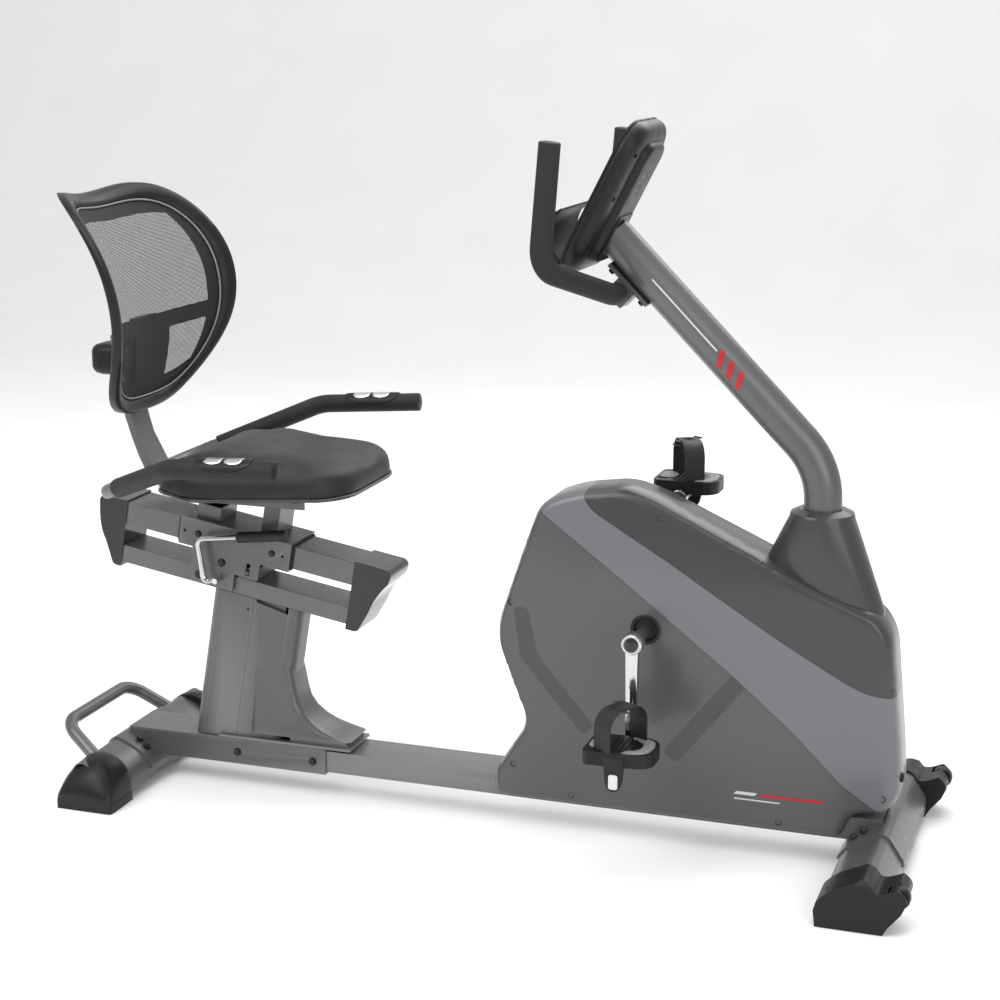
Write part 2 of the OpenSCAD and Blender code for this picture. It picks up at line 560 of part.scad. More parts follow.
// The backrest against the height share t from 0 to 1: height, half width, side edge and dish
back_lo = 658;
back_hi = 1046;
function back_w(t) = 150 + 34 * t + 47 * sin(180 * t);
function back_edge(t) = -618 - 44 * t + 86 * sin(180 * t);
function back_dish(t) = 8 + 30 * t + 36 * sin(180 * t);
// Point of the front face at share k of the half width, d further forward
function back_pt(t, k, d) = [back_edge(t) - back_dish(t) * (1 - k * k) + d, back_w(t) * k,
    back_lo + (back_hi - back_lo) * t + 14 * k * k];
// Centre line of the back in side view, over its lower part, d in front of the face
function spine(d) = [for (i = [0:6]) let (p = back_pt(0.03 + 0.065 * i, 0, d)) [p[0], p[2]]];
// Slab that follows the backrest's double curve between side shares k0 and k1, height shares t0 and t1
module back_slab(t0, t1, k0, k1, nt, nk, d0, d1) {
    pt = [for (d = [d0, d1], i = [0:nt], j = [0:nk]) back_pt(t0 + (t1 - t0) * i / nt, k0 + (k1 - k0) * j / nk, d)];
    m = (nt + 1) * (nk + 1);
    w = nk + 1;
    function q(a, b, c, d) = [[a, b, c], [a, c, d]];
    faces = concat(
        [for (i = [0:nt - 1], j = [0:nk - 1]) each q(i * w + j, (i + 1) * w + j, (i + 1) * w + j + 1, i * w + j + 1)],
        [for (i = [0:nt - 1], j = [0:nk - 1]) each q(m + i * w + j, m + i * w + j + 1, m + (i + 1) * w + j + 1, m + (i + 1) * w + j)],
        [for (j = [0:nk - 1]) each q(j, j + 1, m + j + 1, m + j)],
        [for (j = [0:nk - 1]) each q(nt * w + j + 1, nt * w + j, m + nt * w + j, m + nt * w + j + 1)],
        [for (i = [0:nt - 1]) each q((i + 1) * w, i * w, m + i * w, m + (i + 1) * w)],
        [for (i = [0:nt - 1]) each q(i * w + nk, (i + 1) * w + nk, m + (i + 1) * w + nk, m + i * w + nk)]);
    polyhedron(pt, faces);
}
// Closed rim that follows the backrest's edge, w its share of the half width
module back_rim(w, d0, d1, n = 48) {
    edge = [for (i = [0:n - 1]) let (a = 360 * i / n, c = cos(a), e = sin(a), m = max(abs(c), abs(e)))
        [c / m * pow(m, 0.35), 0.5 + 0.5 * e / m * pow(m, 0.35)]];
    pt = [for (p = edge, q = [[1, d0], [1, d1], [1 - w, d1], [1 - w, d0]])
        back_pt(0.5 + (p[1] - 0.5) * q[0], p[0] * q[0], q[1])];
    polyhedron(pt, [for (i = [0:n - 1], k = [0:3]) let (j = (i + 1) % n, l = (k + 1) % 4)
        each [[4 * i + k, 4 * i + l, 4 * j + l], [4 * i + k, 4 * j + l, 4 * j + k]]]);
}
module backrest_frame() color(black) {
    back_rim(0.13, -8, 12);
    difference() {
        union() {
            box([-727, -38, 716], [-622, 38, 792]);
            side(-58, 58) polygon(concat(spine(-16), back(spine(-3))));
        }
        side(-30.3, 30.3) polygon(concat([[-670, 614], [-670, 800], [-648.6, 800], [-648.6, 790]],
            bez([-640.6, 700], [-632.6, 664], [-617.6, 614], 4)));
    }
}
module backrest_mesh() color("#3a3b3d") back_slab(0.063, 0.937, -0.857, 0.857, 12, 14, 0, 3);
seat_bar = [[-624, 0, 541], [-624, -150, 541], [-418, -292, 628], [-232, -grip_y, 640]];
module seat_handlebar() color(frame_grey) difference() {
    bent_tube(bar_path(seat_bar), bar_r, 60, bar_r - 2, 16);
    side(-30.2, 30.2) polygon([[-700, 500], [-500, 500], [-500, 560], [-700, 560]]);
}
module seat_grips() color(black) both_sides()
    bent_tube([seat_bar[1] + unit(seat_bar[2] - seat_bar[1]) * 62, seat_bar[2], seat_bar[3] + [3, -0.2, 0.2]], 16.5, 60, bar_r + 0.2);
module pulse_sensors() color("#c8cacc") both_sides() translate([-318, -298.9, 634.4]) rotate([0, -3.6, -3.9]) difference() {
    rotate([0, 90, 0]) cylinder(r = 19.4, h = 92, center = true);
    rotate([0, 90, 0]) cylinder(r = 17.2, h = 93, center = true);
    box([-60, -30, -30], [60, 30, 4]);
}
lever_pin = [-462, -68, 381];
module seat_lever() color("#d0d2d4") {
    rod(lever_pin - [0, 5, 0], lever_pin + [0, 27, 0], 5);
    bent_tube([lever_pin, [-484, -68, 377], [-495, -68, 452], [-330, -68, 472]], 5, 10, 0, 12);
}
module lever_grip() color(black) rod([-418, -68, 461.3], [-326, -68, 472.5], 9.5, 4.4);
module lock_pawl() color("#3c3e40") on_rail() {
    box([12, -43, lower_top + 0.6], [44, 43, -58]);
    rod([30, -50, -66], [30, 50, -66], 3.5);
}

front_beam();
rear_beam();
rear_stabiliser();
front_stabiliser();
rear_feet();
front_feet();
transport_handle();
seat_column();
column_cover_front();
column_cover_rear();
upper_rail();
lower_rail();
rail_caps();
drive_frame();
shroud_right();
shroud_left();
side_trims();
top_cover();
post_cone();
post_tube();
console_back();
console_face();
console_screen();
tablet_ledge();
handlebar_clamp();
front_handlebar();
front_grips();
power_inlet();
crank_bearings();
drive_belt();
resistance_motor();
frame_bolts();
shroud_screws();
crank_axle();
drive_pulley();
crank_arms();
pedal_right();
pedal_left();
strap_right();
strap_left();
flywheel();
magnet_bracket();
carriage_sleeve();
sleeve_bushings();
seat_bracket();
seat_cushion();
backrest_bar();
backrest_frame();
backrest_mesh();
seat_handlebar();
seat_grips();
pulse_sensors();
seat_lever();
lever_grip();
lock_pawl();
wheel_right();
wheel_left();
button_up();
button_down();
button_start();
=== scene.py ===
import json
import math

import bmesh
import bpy
from mathutils import Matrix, Vector
from mathutils.geometry import delaunay_2d_cdt

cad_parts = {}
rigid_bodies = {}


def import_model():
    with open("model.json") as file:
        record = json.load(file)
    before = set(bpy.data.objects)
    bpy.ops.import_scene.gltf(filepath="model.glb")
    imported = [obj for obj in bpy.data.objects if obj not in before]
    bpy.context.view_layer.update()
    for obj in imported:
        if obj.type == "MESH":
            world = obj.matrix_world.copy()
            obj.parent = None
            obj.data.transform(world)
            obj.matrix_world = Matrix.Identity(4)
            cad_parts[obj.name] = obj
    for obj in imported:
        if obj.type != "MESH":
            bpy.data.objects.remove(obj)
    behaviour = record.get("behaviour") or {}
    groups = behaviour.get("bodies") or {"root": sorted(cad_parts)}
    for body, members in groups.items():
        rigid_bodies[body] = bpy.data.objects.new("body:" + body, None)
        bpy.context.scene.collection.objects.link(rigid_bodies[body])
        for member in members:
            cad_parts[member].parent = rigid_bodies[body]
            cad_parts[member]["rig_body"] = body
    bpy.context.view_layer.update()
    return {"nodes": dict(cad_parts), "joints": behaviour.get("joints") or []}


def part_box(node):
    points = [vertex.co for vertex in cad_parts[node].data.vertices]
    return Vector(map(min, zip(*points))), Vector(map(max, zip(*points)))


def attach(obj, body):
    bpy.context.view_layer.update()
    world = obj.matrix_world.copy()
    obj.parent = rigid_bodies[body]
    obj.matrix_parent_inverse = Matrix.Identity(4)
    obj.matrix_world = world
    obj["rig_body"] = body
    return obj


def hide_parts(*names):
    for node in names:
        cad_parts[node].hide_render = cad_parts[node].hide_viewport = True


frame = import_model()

bl_info = {
    "name": "Recumbent Bike Finish",
    "version": (1, 0, 0),
    "blender": (4, 5, 0),
    "location": "3D View > Sidebar > Bike",
    "description": "Builds the visible pieces and finishes of a recumbent exercise bike around its fixed frame",
    "category": "Object",
}

MM = 0.001
NODES = frame["nodes"]
JOINTS = {j["name"]: j for j in frame["joints"]}
CRANK = Vector(JOINTS["crank_spin"]["pos_m"])
PEDALS = {side: Vector(JOINTS[f"pedal_{side}_spin"]["pos_m"]) * Vector((1, 0, 1)) for side in ("right", "left")}
WHEELS = {"right": Vector(JOINTS["wheel_right_spin"]["pos_m"]), "left": Vector(JOINTS["wheel_left_spin"]["pos_m"])}
RAIL_DIR = Vector(JOINTS["seat_slide"]["axis"]).normalized()
RAIL_UP = Vector(JOINTS["lock_lift"]["axis"]).normalized()
FACE_IN = Vector(JOINTS["button_up_press"]["axis"]).normalized()
SIDES = {"right": -1, "left": 1}


def pt(x, y, z):
    """A point given in millimetres."""
    return Vector((x, y, z)) * MM


def lerp(a, b, t):
    return a + (b - a) * t


def table(points, x):
    """Straight-line reading of a list of (x, value) pairs."""
    for (x0, v0), (x1, v1) in zip(points, points[1:]):
        if x <= x1:
            return lerp(v0, v1, max(0.0, (x - x0) / (x1 - x0)))
    return points[-1][1]


# ---------------------------------------------------------------- settings


class BikeSizes(bpy.types.PropertyGroup):
    """Sizes that the visible pieces add to the frame."""

    edge_radius: bpy.props.FloatProperty(
        name="Edge radius", description="Rounding of pressed and moulded edges", default=0.0016,
        min=0.0003, max=0.004, unit="LENGTH")
    housing_round: bpy.props.FloatProperty(
        name="Housing rounding", description="Radius where the housing sides turn into its rim", default=0.014,
        min=0.004, max=0.025, unit="LENGTH")
    cushion_cap: bpy.props.FloatProperty(
        name="Cushion swell", description="Furthest that the cushion's cover may swell", default=0.012,
        min=0.0, max=0.03, unit="LENGTH")
    net_pitch: bpy.props.FloatProperty(
        name="Net pitch", description="Distance between the threads of the back net", default=0.0027,
        min=0.001, max=0.006, unit="LENGTH")


class BikeColours(bpy.types.PropertyGroup):
    """Colours of the main finishes."""

    frame_paint: bpy.props.FloatVectorProperty(
        name="Frame paint", description="Powder coat of the steel frame", default=(0.078, 0.079, 0.081),
        min=0, max=1, subtype="COLOR")
    housing: bpy.props.FloatVectorProperty(
        name="Housing", description="Main housing shells", default=(0.066, 0.0668, 0.068), min=0, max=1,
        subtype="COLOR")
    cover: bpy.props.FloatVectorProperty(
        name="Top cover", description="Dark cover over the housing", default=(0.034, 0.0343, 0.035), min=0, max=1,
        subtype="COLOR")
    stripe: bpy.props.FloatVectorProperty(
        name="Side stripe", description="Light panels on both sides", default=(0.115, 0.119, 0.126), min=0, max=1,
        subtype="COLOR")
    black: bpy.props.FloatVectorProperty(
        name="Black plastic", description="Caps, console and pedals", default=(0.007, 0.007, 0.0074), min=0, max=1,
        subtype="COLOR")
    accent: bpy.props.FloatVectorProperty(
        name="Accent", description="Plain accent stripes", default=(0.30, 0.006, 0.014), min=0, max=1,
        subtype="COLOR")


def sizes():
    return bpy.context.scene.bike_sizes


def colours():
    return bpy.context.scene.bike_colours


# ---------------------------------------------------------------- materials


class Finish:
    """A node material in the making: a Principled shader with noise, bump and wear from object coordinates."""

    def __init__(self, name, colour, roughness, metallic=0.0):
        self.material = bpy.data.materials.new(name)
        self.material.use_nodes = True
        self.tree = self.material.node_tree
        self.shader = self.tree.nodes["Principled BSDF"]
        self.colour = tuple(colour)
        self.roughness = roughness
        self.shader.inputs["Base Color"].default_value = (*self.colour, 1)
        self.shader.inputs["Roughness"].default_value = roughness
        self.shader.inputs["Metallic"].default_value = metallic
        self.coords = self.tree.nodes.new("ShaderNodeTexCoord").outputs["Object"]
        self.height = None

    def set(self, **values):
        for key, value in values.items():
            self.shader.inputs[key.replace("_", " ")].default_value = value
        return self

    def node(self, kind, **settings):
        made = self.tree.nodes.new(kind)
        for key, value in settings.items():
            setattr(made, key, value)
        return made

    def link(self, a, b):
        self.tree.links.new(a, b)

    def noise(self, scale, detail=3.0, stretch=None):
        source = self.coords
        if stretch:
            mapping = self.node("ShaderNodeMapping")
            mapping.inputs["Scale"].default_value = stretch
            self.link(source, mapping.inputs["Vector"])
            source = mapping.outputs["Vector"]
        texture = self.node("ShaderNodeTexNoise")
        texture.inputs["Scale"].default_value = scale
        texture.inputs["Detail"].default_value = detail
        self.link(source, texture.inputs["Vector"])
        return texture.outputs["Fac"]

    def cells(self, scale):
        texture = self.node("ShaderNodeTexVoronoi")
        texture.inputs["Scale"].default_value = scale
        self.link(self.coords, texture.inputs["Vector"])
        return texture.outputs["Distance"]

    def spread(self, value, low, high, start=0.3, end=0.7):
        """Maps value from start..end onto low..high."""
        ramp = self.node("ShaderNodeMapRange")
        for socket, number in zip(("From Min", "From Max", "To Min", "To Max"), (start, end, low, high)):
            ramp.inputs[socket].default_value = number
        self.link(value, ramp.inputs["Value"])
        return ramp.outputs["Result"]

    def tint(self, fac, other):
        """Mixes another colour in where fac is high."""
        mix = self.node("ShaderNodeMix", data_type="RGBA")
        base = self.shader.inputs["Base Color"]
        if base.is_linked:
            self.link(base.links[0].from_socket, mix.inputs[6])
        else:
            mix.inputs[6].default_value = (*self.colour, 1)
        mix.inputs[7].default_value = (*other, 1)
        self.link(fac, mix.inputs[0])
        self.link(mix.outputs[2], base)
        return self

    def mottle(self, scale, amount, detail=4.0):
        """Slow changes of tone over the surface."""
        light = tuple(min(1.0, c * (1 + amount)) for c in self.colour)
        return self.tint(self.spread(self.noise(scale, detail), 0, 1), light)

    def rough(self, scale, amount, stretch=None):
        fac = self.noise(scale, 4.0, stretch)
        self.link(self.spread(fac, self.roughness - amount, self.roughness + amount),
                  self.shader.inputs["Roughness"])
        return self

    def bump(self, value, strength, distance):
        made = self.node("ShaderNodeBump")
        made.inputs["Strength"].default_value = strength
        made.inputs["Distance"].default_value = distance
        self.link(value, made.inputs["Height"])
        if self.height:
            self.link(self.height, made.inputs["Normal"])
        self.height = made.outputs["Normal"]
        self.link(self.height, self.shader.inputs["Normal"])
        return self

    def wear(self, amount, light):
        """Lighter rubbed edges."""
        edge = self.node("ShaderNodeNewGeometry").outputs["Pointiness"]
        rubbed = self.spread(edge, 0, amount, 0.52, 0.62)
        return self.tint(rubbed, light)


MATERIALS = {}


def material(name):
    """The named finish, made once."""
    if name not in MATERIALS:
        MATERIALS[name] = FINISHES[name]().material
        MATERIALS[name].name = name
    return MATERIALS[name]


def frame_paint():
    f = Finish("frame_paint", colours().frame_paint, 0.34, 0.35)
    f.set(Coat_Weight=0.15, Coat_Roughness=0.2, Specular_IOR_Level=0.35)
    f.mottle(1400, 0.35, 2).rough(90, 0.06)
    return f.bump(f.noise(900, 3), 0.10, 0.0002).wear(0.35, (0.3, 0.3, 0.31))


def housing_plastic(name, colour):
    f = Finish(name, colour, 0.30).set(Coat_Weight=0.2, Coat_Roughness=0.12, Specular_IOR_Level=0.35)
    f.mottle(3, 0.05).rough(5, 0.02)
    return f.bump(f.noise(1500, 2), 0.04, 0.0001)


def black_plastic():
    f = Finish("black_plastic", colours().black, 0.38).set(Specular_IOR_Level=0.22)
    f.mottle(700, 0.5, 2).rough(60, 0.06)
    return f.bump(f.noise(2600, 3), 0.12, 0.0002).wear(0.3, (0.04, 0.04, 0.041))


def gloss_black():
    f = Finish("gloss_black", colours().black, 0.14).set(Coat_Weight=0.35, Coat_Roughness=0.05, Specular_IOR_Level=0.3)
    f.rough(30, 0.04)
    return f.bump(f.noise(60, 2), 0.02, 0.0003).wear(0.3, (0.07, 0.07, 0.07))


def grip_foam():
    f = Finish("grip_foam", (0.010, 0.010, 0.0105), 0.62).set(Specular_IOR_Level=0.3)
    f.mottle(300, 0.7)
    f.bump(f.cells(1400), 0.35, 0.0004)
    return f.bump(f.noise(200, 3), 0.10, 0.0006)


def rubber():
    f = Finish("rubber", (0.012, 0.012, 0.0125), 0.5).set(Specular_IOR_Level=0.3)
    f.mottle(200, 0.6).rough(40, 0.08)
    return f.bump(f.noise(1800, 3), 0.15, 0.0002)


def seat_vinyl():
    f = Finish("seat_vinyl", (0.011, 0.011, 0.0115), 0.5).set(Specular_IOR_Level=0.3)
    f.mottle(35, 0.35).rough(14, 0.06)
    f.bump(f.cells(900), 0.30, 0.0003)
    return f.bump(f.noise(70, 3), 0.10, 0.0009)


def piping():
    f = Finish("piping", (0.02, 0.02, 0.021), 0.3).set(Coat_Weight=0.3, Coat_Roughness=0.2)
    f.mottle(90, 0.5)
    return f.bump(f.noise(1200, 2), 0.12, 0.0002)


def chrome():
    f = Finish("crank_chrome", (0.5, 0.5, 0.51), 0.14, 1.0)
    f.rough(45, 0.04).mottle(60, 0.08)
    return f.bump(f.noise(140, 2), 0.03, 0.0003)


def brushed(name, colour, roughness=0.32):
    f = Finish(name, colour, roughness, 1.0)
    f.rough(220, 0.08, (1, 1, 22)).mottle(500, 0.2)
    return f.bump(f.noise(500, 2, (1, 1, 30)), 0.06, 0.0002)


def dark_steel():
    f = Finish("dark_steel", (0.05, 0.05, 0.053), 0.42, 0.3)
    f.mottle(400, 0.4).rough(70, 0.08)
    return f.bump(f.noise(1100, 3), 0.1, 0.0002).wear(0.4, (0.25, 0.25, 0.26))


def bolt_black():
    f = Finish("bolt_black", (0.022, 0.022, 0.024), 0.35, 0.7)
    f.mottle(300, 0.5).rough(120, 0.08)
    return f.bump(f.noise(900, 2), 0.1, 0.0001)


def flywheel_iron():
    f = Finish("flywheel_iron", (0.24, 0.24, 0.25), 0.4, 0.9)
    f.mottle(80, 0.3).rough(60, 0.1)
    return f.bump(f.noise(700, 4), 0.12, 0.0003)


def screen_glass():
    f = Finish("screen", (0.035, 0.05, 0.047), 0.12).set(Coat_Weight=0.8, Coat_Roughness=0.03)
    f.mottle(12, 0.4)
    return f.bump(f.noise(40, 2), 0.01, 0.0002)


def pad_grey():
    f = Finish("pad_grey", (0.17, 0.17, 0.172), 0.62)
    f.mottle(260, 0.4).rough(60, 0.08)
    return f.bump(f.cells(600), 0.3, 0.0005)


def reflector():
    f = Finish("reflector", (0.5, 0.5, 0.49), 0.2).set(Coat_Weight=0.7, Coat_Roughness=0.05)
    f.mottle(400, 0.2)
    return f.bump(f.cells(420), 0.5, 0.0006)


def accent_ink():
    f = Finish("accent_ink", colours().accent, 0.4)
    f.mottle(300, 0.3)
    return f.bump(f.noise(900, 2), 0.05, 0.0001)


def white_ink():
    f = Finish("white_ink", (0.45, 0.45, 0.45), 0.42)
    f.mottle(300, 0.2)
    return f.bump(f.noise(900, 2), 0.05, 0.0001)


def key_plastic():
    f = Finish("key_plastic", (0.12, 0.122, 0.128), 0.4)
    f.mottle(300, 0.3).rough(80, 0.05)
    return f.bump(f.noise(1500, 2), 0.1, 0.0002)


def threads(f, across, along, width):
    """Value near 1 on the threads that cross the UV's two directions and 0 in the holes between them."""
    uv = f.node("ShaderNodeTexCoord").outputs["UV"]
    split = f.node("ShaderNodeSeparateXYZ")
    f.link(uv, split.inputs["Vector"])
    found = []
    for socket, pitch in (("X", across), ("Y", along)):
        turn = f.node("ShaderNodeMath", operation="MULTIPLY")
        turn.inputs[1].default_value = 2 * math.pi / pitch
        f.link(split.outputs[socket], turn.inputs[0])
        wave = f.node("ShaderNodeMath", operation="COSINE")
        f.link(turn.outputs[0], wave.inputs[0])
        found.append(f.spread(wave.outputs[0], 0, 1, width, width + 0.25))
    either = f.node("ShaderNodeMath", operation="MAXIMUM")
    f.link(found[0], either.inputs[0])
    f.link(found[1], either.inputs[1])
    return either.outputs[0]


def back_net():
    pitch = sizes().net_pitch
    f = Finish("back_net", (0.02, 0.02, 0.021), 0.75).set(Specular_IOR_Level=0.2)
    f.mottle(600, 0.8)
    woven = threads(f, pitch, pitch * 0.8, 0.1)
    f.link(woven, f.shader.inputs["Alpha"])
    return f.bump(woven, 0.3, 0.0004)


def back_border():
    pitch = sizes().net_pitch
    f = Finish("back_border", (0.012, 0.012, 0.0125), 0.7).set(Specular_IOR_Level=0.25)
    f.mottle(500, 0.8)
    return f.bump(threads(f, pitch * 0.6, pitch * 0.5, 0.0), 0.35, 0.0004)


def studio_floor():
    f = Finish("studio_floor", (0.96, 0.96, 0.96), 0.8)
    f.mottle(3, 0.03)
    return f.bump(f.noise(30, 2), 0.01, 0.001)


FINISHES = {
    "frame_paint": frame_paint,
    "shroud_plastic": lambda: housing_plastic("shroud_plastic", colours().housing),
    # Darker copy of the housing plastic for the sunk V bands: painted shade and reflection of the recesses.
    "shroud_band_painted_shade": lambda: housing_plastic("shroud_band_painted_shade", tuple(c * 0.62 for c in colours().housing)),
    "cover_plastic": lambda: housing_plastic("cover_plastic", colours().cover),
    "stripe_plastic": lambda: housing_plastic("stripe_plastic", colours().stripe),
    "black_plastic": black_plastic,
    "gloss_black": gloss_black,
    "button_plastic": key_plastic,
    "screen": screen_glass,
    "grip_foam": grip_foam,
    "strap_rubber": rubber,
    "belt_rubber": rubber,
    "bolt_black": bolt_black,
    "dark_steel": dark_steel,
    "steel": lambda: brushed("steel", (0.45, 0.45, 0.46)),
    "crank_chrome": chrome,
    "sensor_steel": lambda: brushed("sensor_steel", (0.66, 0.66, 0.67), 0.22),
    "flywheel_iron": flywheel_iron,
    "seat_vinyl": seat_vinyl,
    "piping": piping,
    "back_net": back_net,
    "back_border": back_border,
    "pad_grey": pad_grey,
    "reflector": reflector,
    "accent_ink": accent_ink,
    "white_ink": white_ink,
    "studio_floor": studio_floor,
}

# ---------------------------------------------------------------- mesh helpers


def piece(name, mesh, body, slot, *finishes, replaces=()):
    """Puts a finished mesh in the scene: on its body, with its finishes."""
    obj = bpy.data.objects.new(name, mesh)
    bpy.context.scene.collection.objects.link(obj)
    for finish in finishes or (slot,):
        obj.data.materials.append(material(finish))
    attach(obj, body)
    if replaces:
        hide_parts(*replaces)
    return obj


def to_mesh(bm, name, smooth_angle=35.0):
    """Closes a bmesh into mesh data, smooth but for edges sharper than smooth_angle degrees."""
    bmesh.ops.recalc_face_normals(bm, faces=bm.faces)
    limit = math.radians(smooth_angle)
    for face in bm.faces:
        face.smooth = True
    for edge in bm.edges:
        edge.smooth = len(edge.link_faces) != 2 or edge.calc_face_angle(0) < limit
    mesh = bpy.data.meshes.new(name)
    bm.to_mesh(mesh)
    bm.free()
    return mesh


def apply_modifiers(obj):
    depsgraph = bpy.context.evaluated_depsgraph_get()
    mesh = bpy.data.meshes.new_from_object(obj.evaluated_get(depsgraph))
    obj.modifiers.clear()
    obj.data = mesh


def round_edges(obj, width, segments=3, angle=28.0):
    """Bevels the sharp edges and evens the shading."""
    bevel = obj.modifiers.new("round", "BEVEL")
    bevel.width = width
    bevel.segments = segments
    bevel.limit_method = "ANGLE"
    bevel.angle_limit = math.radians(angle)
    bevel.use_clamp_overlap = True
    obj.modifiers.new("even", "WEIGHTED_NORMAL").keep_sharp = False
    apply_modifiers(obj)
    return obj


def soften(node, slot, width=None, finish=None, segments=3, angle=28.0):
    """A rounded, smoothly shaded copy of a CAD node that takes the node's place."""
    source = NODES[node]
    bm = bmesh.new()
    bm.from_mesh(source.data)
    bmesh.ops.remove_doubles(bm, verts=bm.verts, dist=1e-5)
    bmesh.ops.dissolve_limit(bm, angle_limit=math.radians(0.6), verts=bm.verts, edges=bm.edges)
    mesh = to_mesh(bm, node + "_finish", 180)
    obj = piece(node + "_finish", mesh, source["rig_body"], slot, finish or slot, replaces=(node,))
    return round_edges(obj, width or sizes().edge_radius, segments, angle)


def bent(points, radius, steps=8):
    """The points of a line whose corners are bent to a radius."""
    path = [points[0]]
    for before, corner, after in zip(points, points[1:], points[2:]):
        a = (corner - before).normalized()
        b = (after - corner).normalized()
        turn = a.angle(b)
        if turn < 0.02:
            continue
        side = (b - a * a.dot(b)).normalized()
        centre = corner - a * (radius * math.tan(turn / 2)) + side * radius
        for k in range(steps + 1):
            g = turn * k / steps
            path.append(centre + radius * (a * math.sin(g) - side * math.cos(g)))
    path.append(points[-1])
    return path


def rings_mesh(name, rings, closed=False, caps=True, smooth=35.0):
    """Skins a list of rings of equal length."""
    bm = bmesh.new()
    made = [[bm.verts.new(p) for p in ring] for ring in rings]
    n = len(made[0])
    pairs = list(zip(made, made[1:])) + ([(made[-1], made[0])] if closed else [])
    for low, high in pairs:
        for k in range(n):
            j = (k + 1) % n
            bm.faces.new((low[k], low[j], high[j], high[k]))
    if caps and not closed:
        bm.faces.new(made[0])
        bm.faces.new(made[-1])
    return to_mesh(bm, name, smooth)


def carried_frames(path, hint, closed=False):
    """Tangent and two cross directions at each point, carried along without twist."""
    frames = []
    side = hint
    n = len(path)
    for i, p in enumerate(path):
        ahead = path[(i + 1) % n] if closed else path[min(i + 1, n - 1)]
        behind = path[i - 1] if closed or i else path[0]
        tangent = (ahead - behind).normalized()
        side = side - tangent * side.dot(tangent)
        side = (side if side.length > 0.05 else tangent.orthogonal()).normalized()
        frames.append((tangent, side, tangent.cross(side)))
    return frames


def sweep(name, path, section, hint=Vector((0, 1, 0)), closed=False, smooth=35.0):
    """Sweeps a section, a list of (side, up) offsets, along a path."""
    frames = carried_frames(path, hint, closed)
    rings = [[p + s * a + u * b for a, b in section] for p, (_, s, u) in zip(path, frames)]
    return rings_mesh(name, rings, closed, not closed, smooth)


def circle(radius, sides=28):
    return [(radius * math.cos(2 * math.pi * k / sides), radius * math.sin(2 * math.pi * k / sides))
            for k in range(sides)]


def tube(name, points, radius, bend=0.04, sides=28, hint=Vector((0, 1, 0)), end_round=0.0):
    """A round bar or sleeve with domed or plain ends."""
    path = bent(points, bend) if len(points) > 2 else list(points)
    scales = [1.0] * len(path)
    if end_round:
        first = (path[0] - path[1]).normalized()
        last = (path[-1] - path[-2]).normalized()
        steps = [math.radians(a) for a in (25, 50, 72, 86)]
        path = ([path[0] - first * end_round * (1 - math.sin(a)) for a in reversed(steps)] + path[1:-1]
                + [path[-1] - last * end_round * (1 - math.sin(a)) for a in steps])
        lip = [1 - end_round / radius * (1 - math.cos(a)) for a in steps]
        scales = lip[::-1] + scales[1:-1] + lip
    frames = carried_frames(path, hint)
    rings = [[p + (s * a + u * b) * k for a, b in circle(radius, sides)]
             for p, (_, s, u), k in zip(path, frames, scales)]
    return rings_mesh(name, rings)


def around(centre, axis, radius, sides):
    """Points of a circle about an axis."""
    side = axis.orthogonal().normalized()
    up = axis.cross(side)
    return [centre + side * (radius * c) + up * (radius * s) for c, s in circle(1, sides)]


def turned(name, profile, centre, axis, sides=36, smooth=35.0):
    """A turned piece: profile lists (radius, height along axis) in millimetres, from one end to the other."""
    axis = axis.normalized()
    rings = [around(centre + axis * (h * MM), axis, r * MM, sides) for r, h in profile]
    return rings_mesh(name, rings, smooth=smooth)


def hexagon_head(name, centre, axis, flat, height):
    """A hexagon bolt head with a domed top, on its washer."""
    axis = axis.normalized()
    washer = height * 0.22
    bm = bmesh.new()
    for sides, levels in ((36, ((flat * 1.35, 0), (flat * 1.35, washer))),
                          (6, ((flat * 1.1, washer), (flat * 1.1, height * 0.86), (flat * 0.92, height)))):
        rings = [around(centre + axis * h, axis, r, sides) for r, h in levels]
        mesh = rings_mesh(name, rings)
        bm.from_mesh(mesh)
        bpy.data.meshes.remove(mesh)
    return to_mesh(bm, name, 25)


def inside(p, loop):
    """Whether a 2-D point is in a closed loop."""
    x, y = p
    found = False
    for (x0, y0), (x1, y1) in zip(loop, loop[1:] + loop[:1]):
        if (y0 > y) != (y1 > y) and x < (x1 - x0) * (y - y0) / (y1 - y0) + x0:
            found = not found
    return found


def gap_to(p, loop, closed=True):
    """Distance from a 2-D point to a loop."""
    best = 1e9
    px, py = p
    ends = loop[1:] + loop[:1] if closed else loop[1:]
    for (x0, y0), (x1, y1) in zip(loop, ends):
        dx, dy = x1 - x0, y1 - y0
        t = ((px - x0) * dx + (py - y0) * dy) / (dx * dx + dy * dy + 1e-18)
        t = min(1.0, max(0.0, t))
        best = min(best, math.hypot(px - x0 - dx * t, py - y0 - dy * t))
    return best


def fine(loop, step, closed=True):
    """The loop with points at most a step apart."""
    out = []
    ends = loop[1:] + (loop[:1] if closed else [])
    for a, b in zip(loop, ends):
        n = max(1, math.ceil(math.hypot(b[0] - a[0], b[1] - a[1]) / step))
        out += [(lerp(a[0], b[0], k / n), lerp(a[1], b[1], k / n)) for k in range(n)]
    return out if closed else out + [loop[-1]]


def rounded(loop, radius, steps=5, closed=True):
    """The loop with its corners rounded off."""
    out = []
    n = len(loop)
    for i, corner in enumerate(loop):
        if not closed and i in (0, n - 1):
            out.append(corner)
            continue
        c = Vector(corner)
        a = Vector(loop[i - 1]) - c
        b = Vector(loop[(i + 1) % n]) - c
        reach = min(radius, a.length * 0.45, b.length * 0.45)
        p, q = c + a.normalized() * reach, c + b.normalized() * reach
        for k in range(steps + 1):
            t = k / steps
            out.append(tuple(p * (1 - t) ** 2 + c * (2 * t * (1 - t)) + q * t * t))
    return out


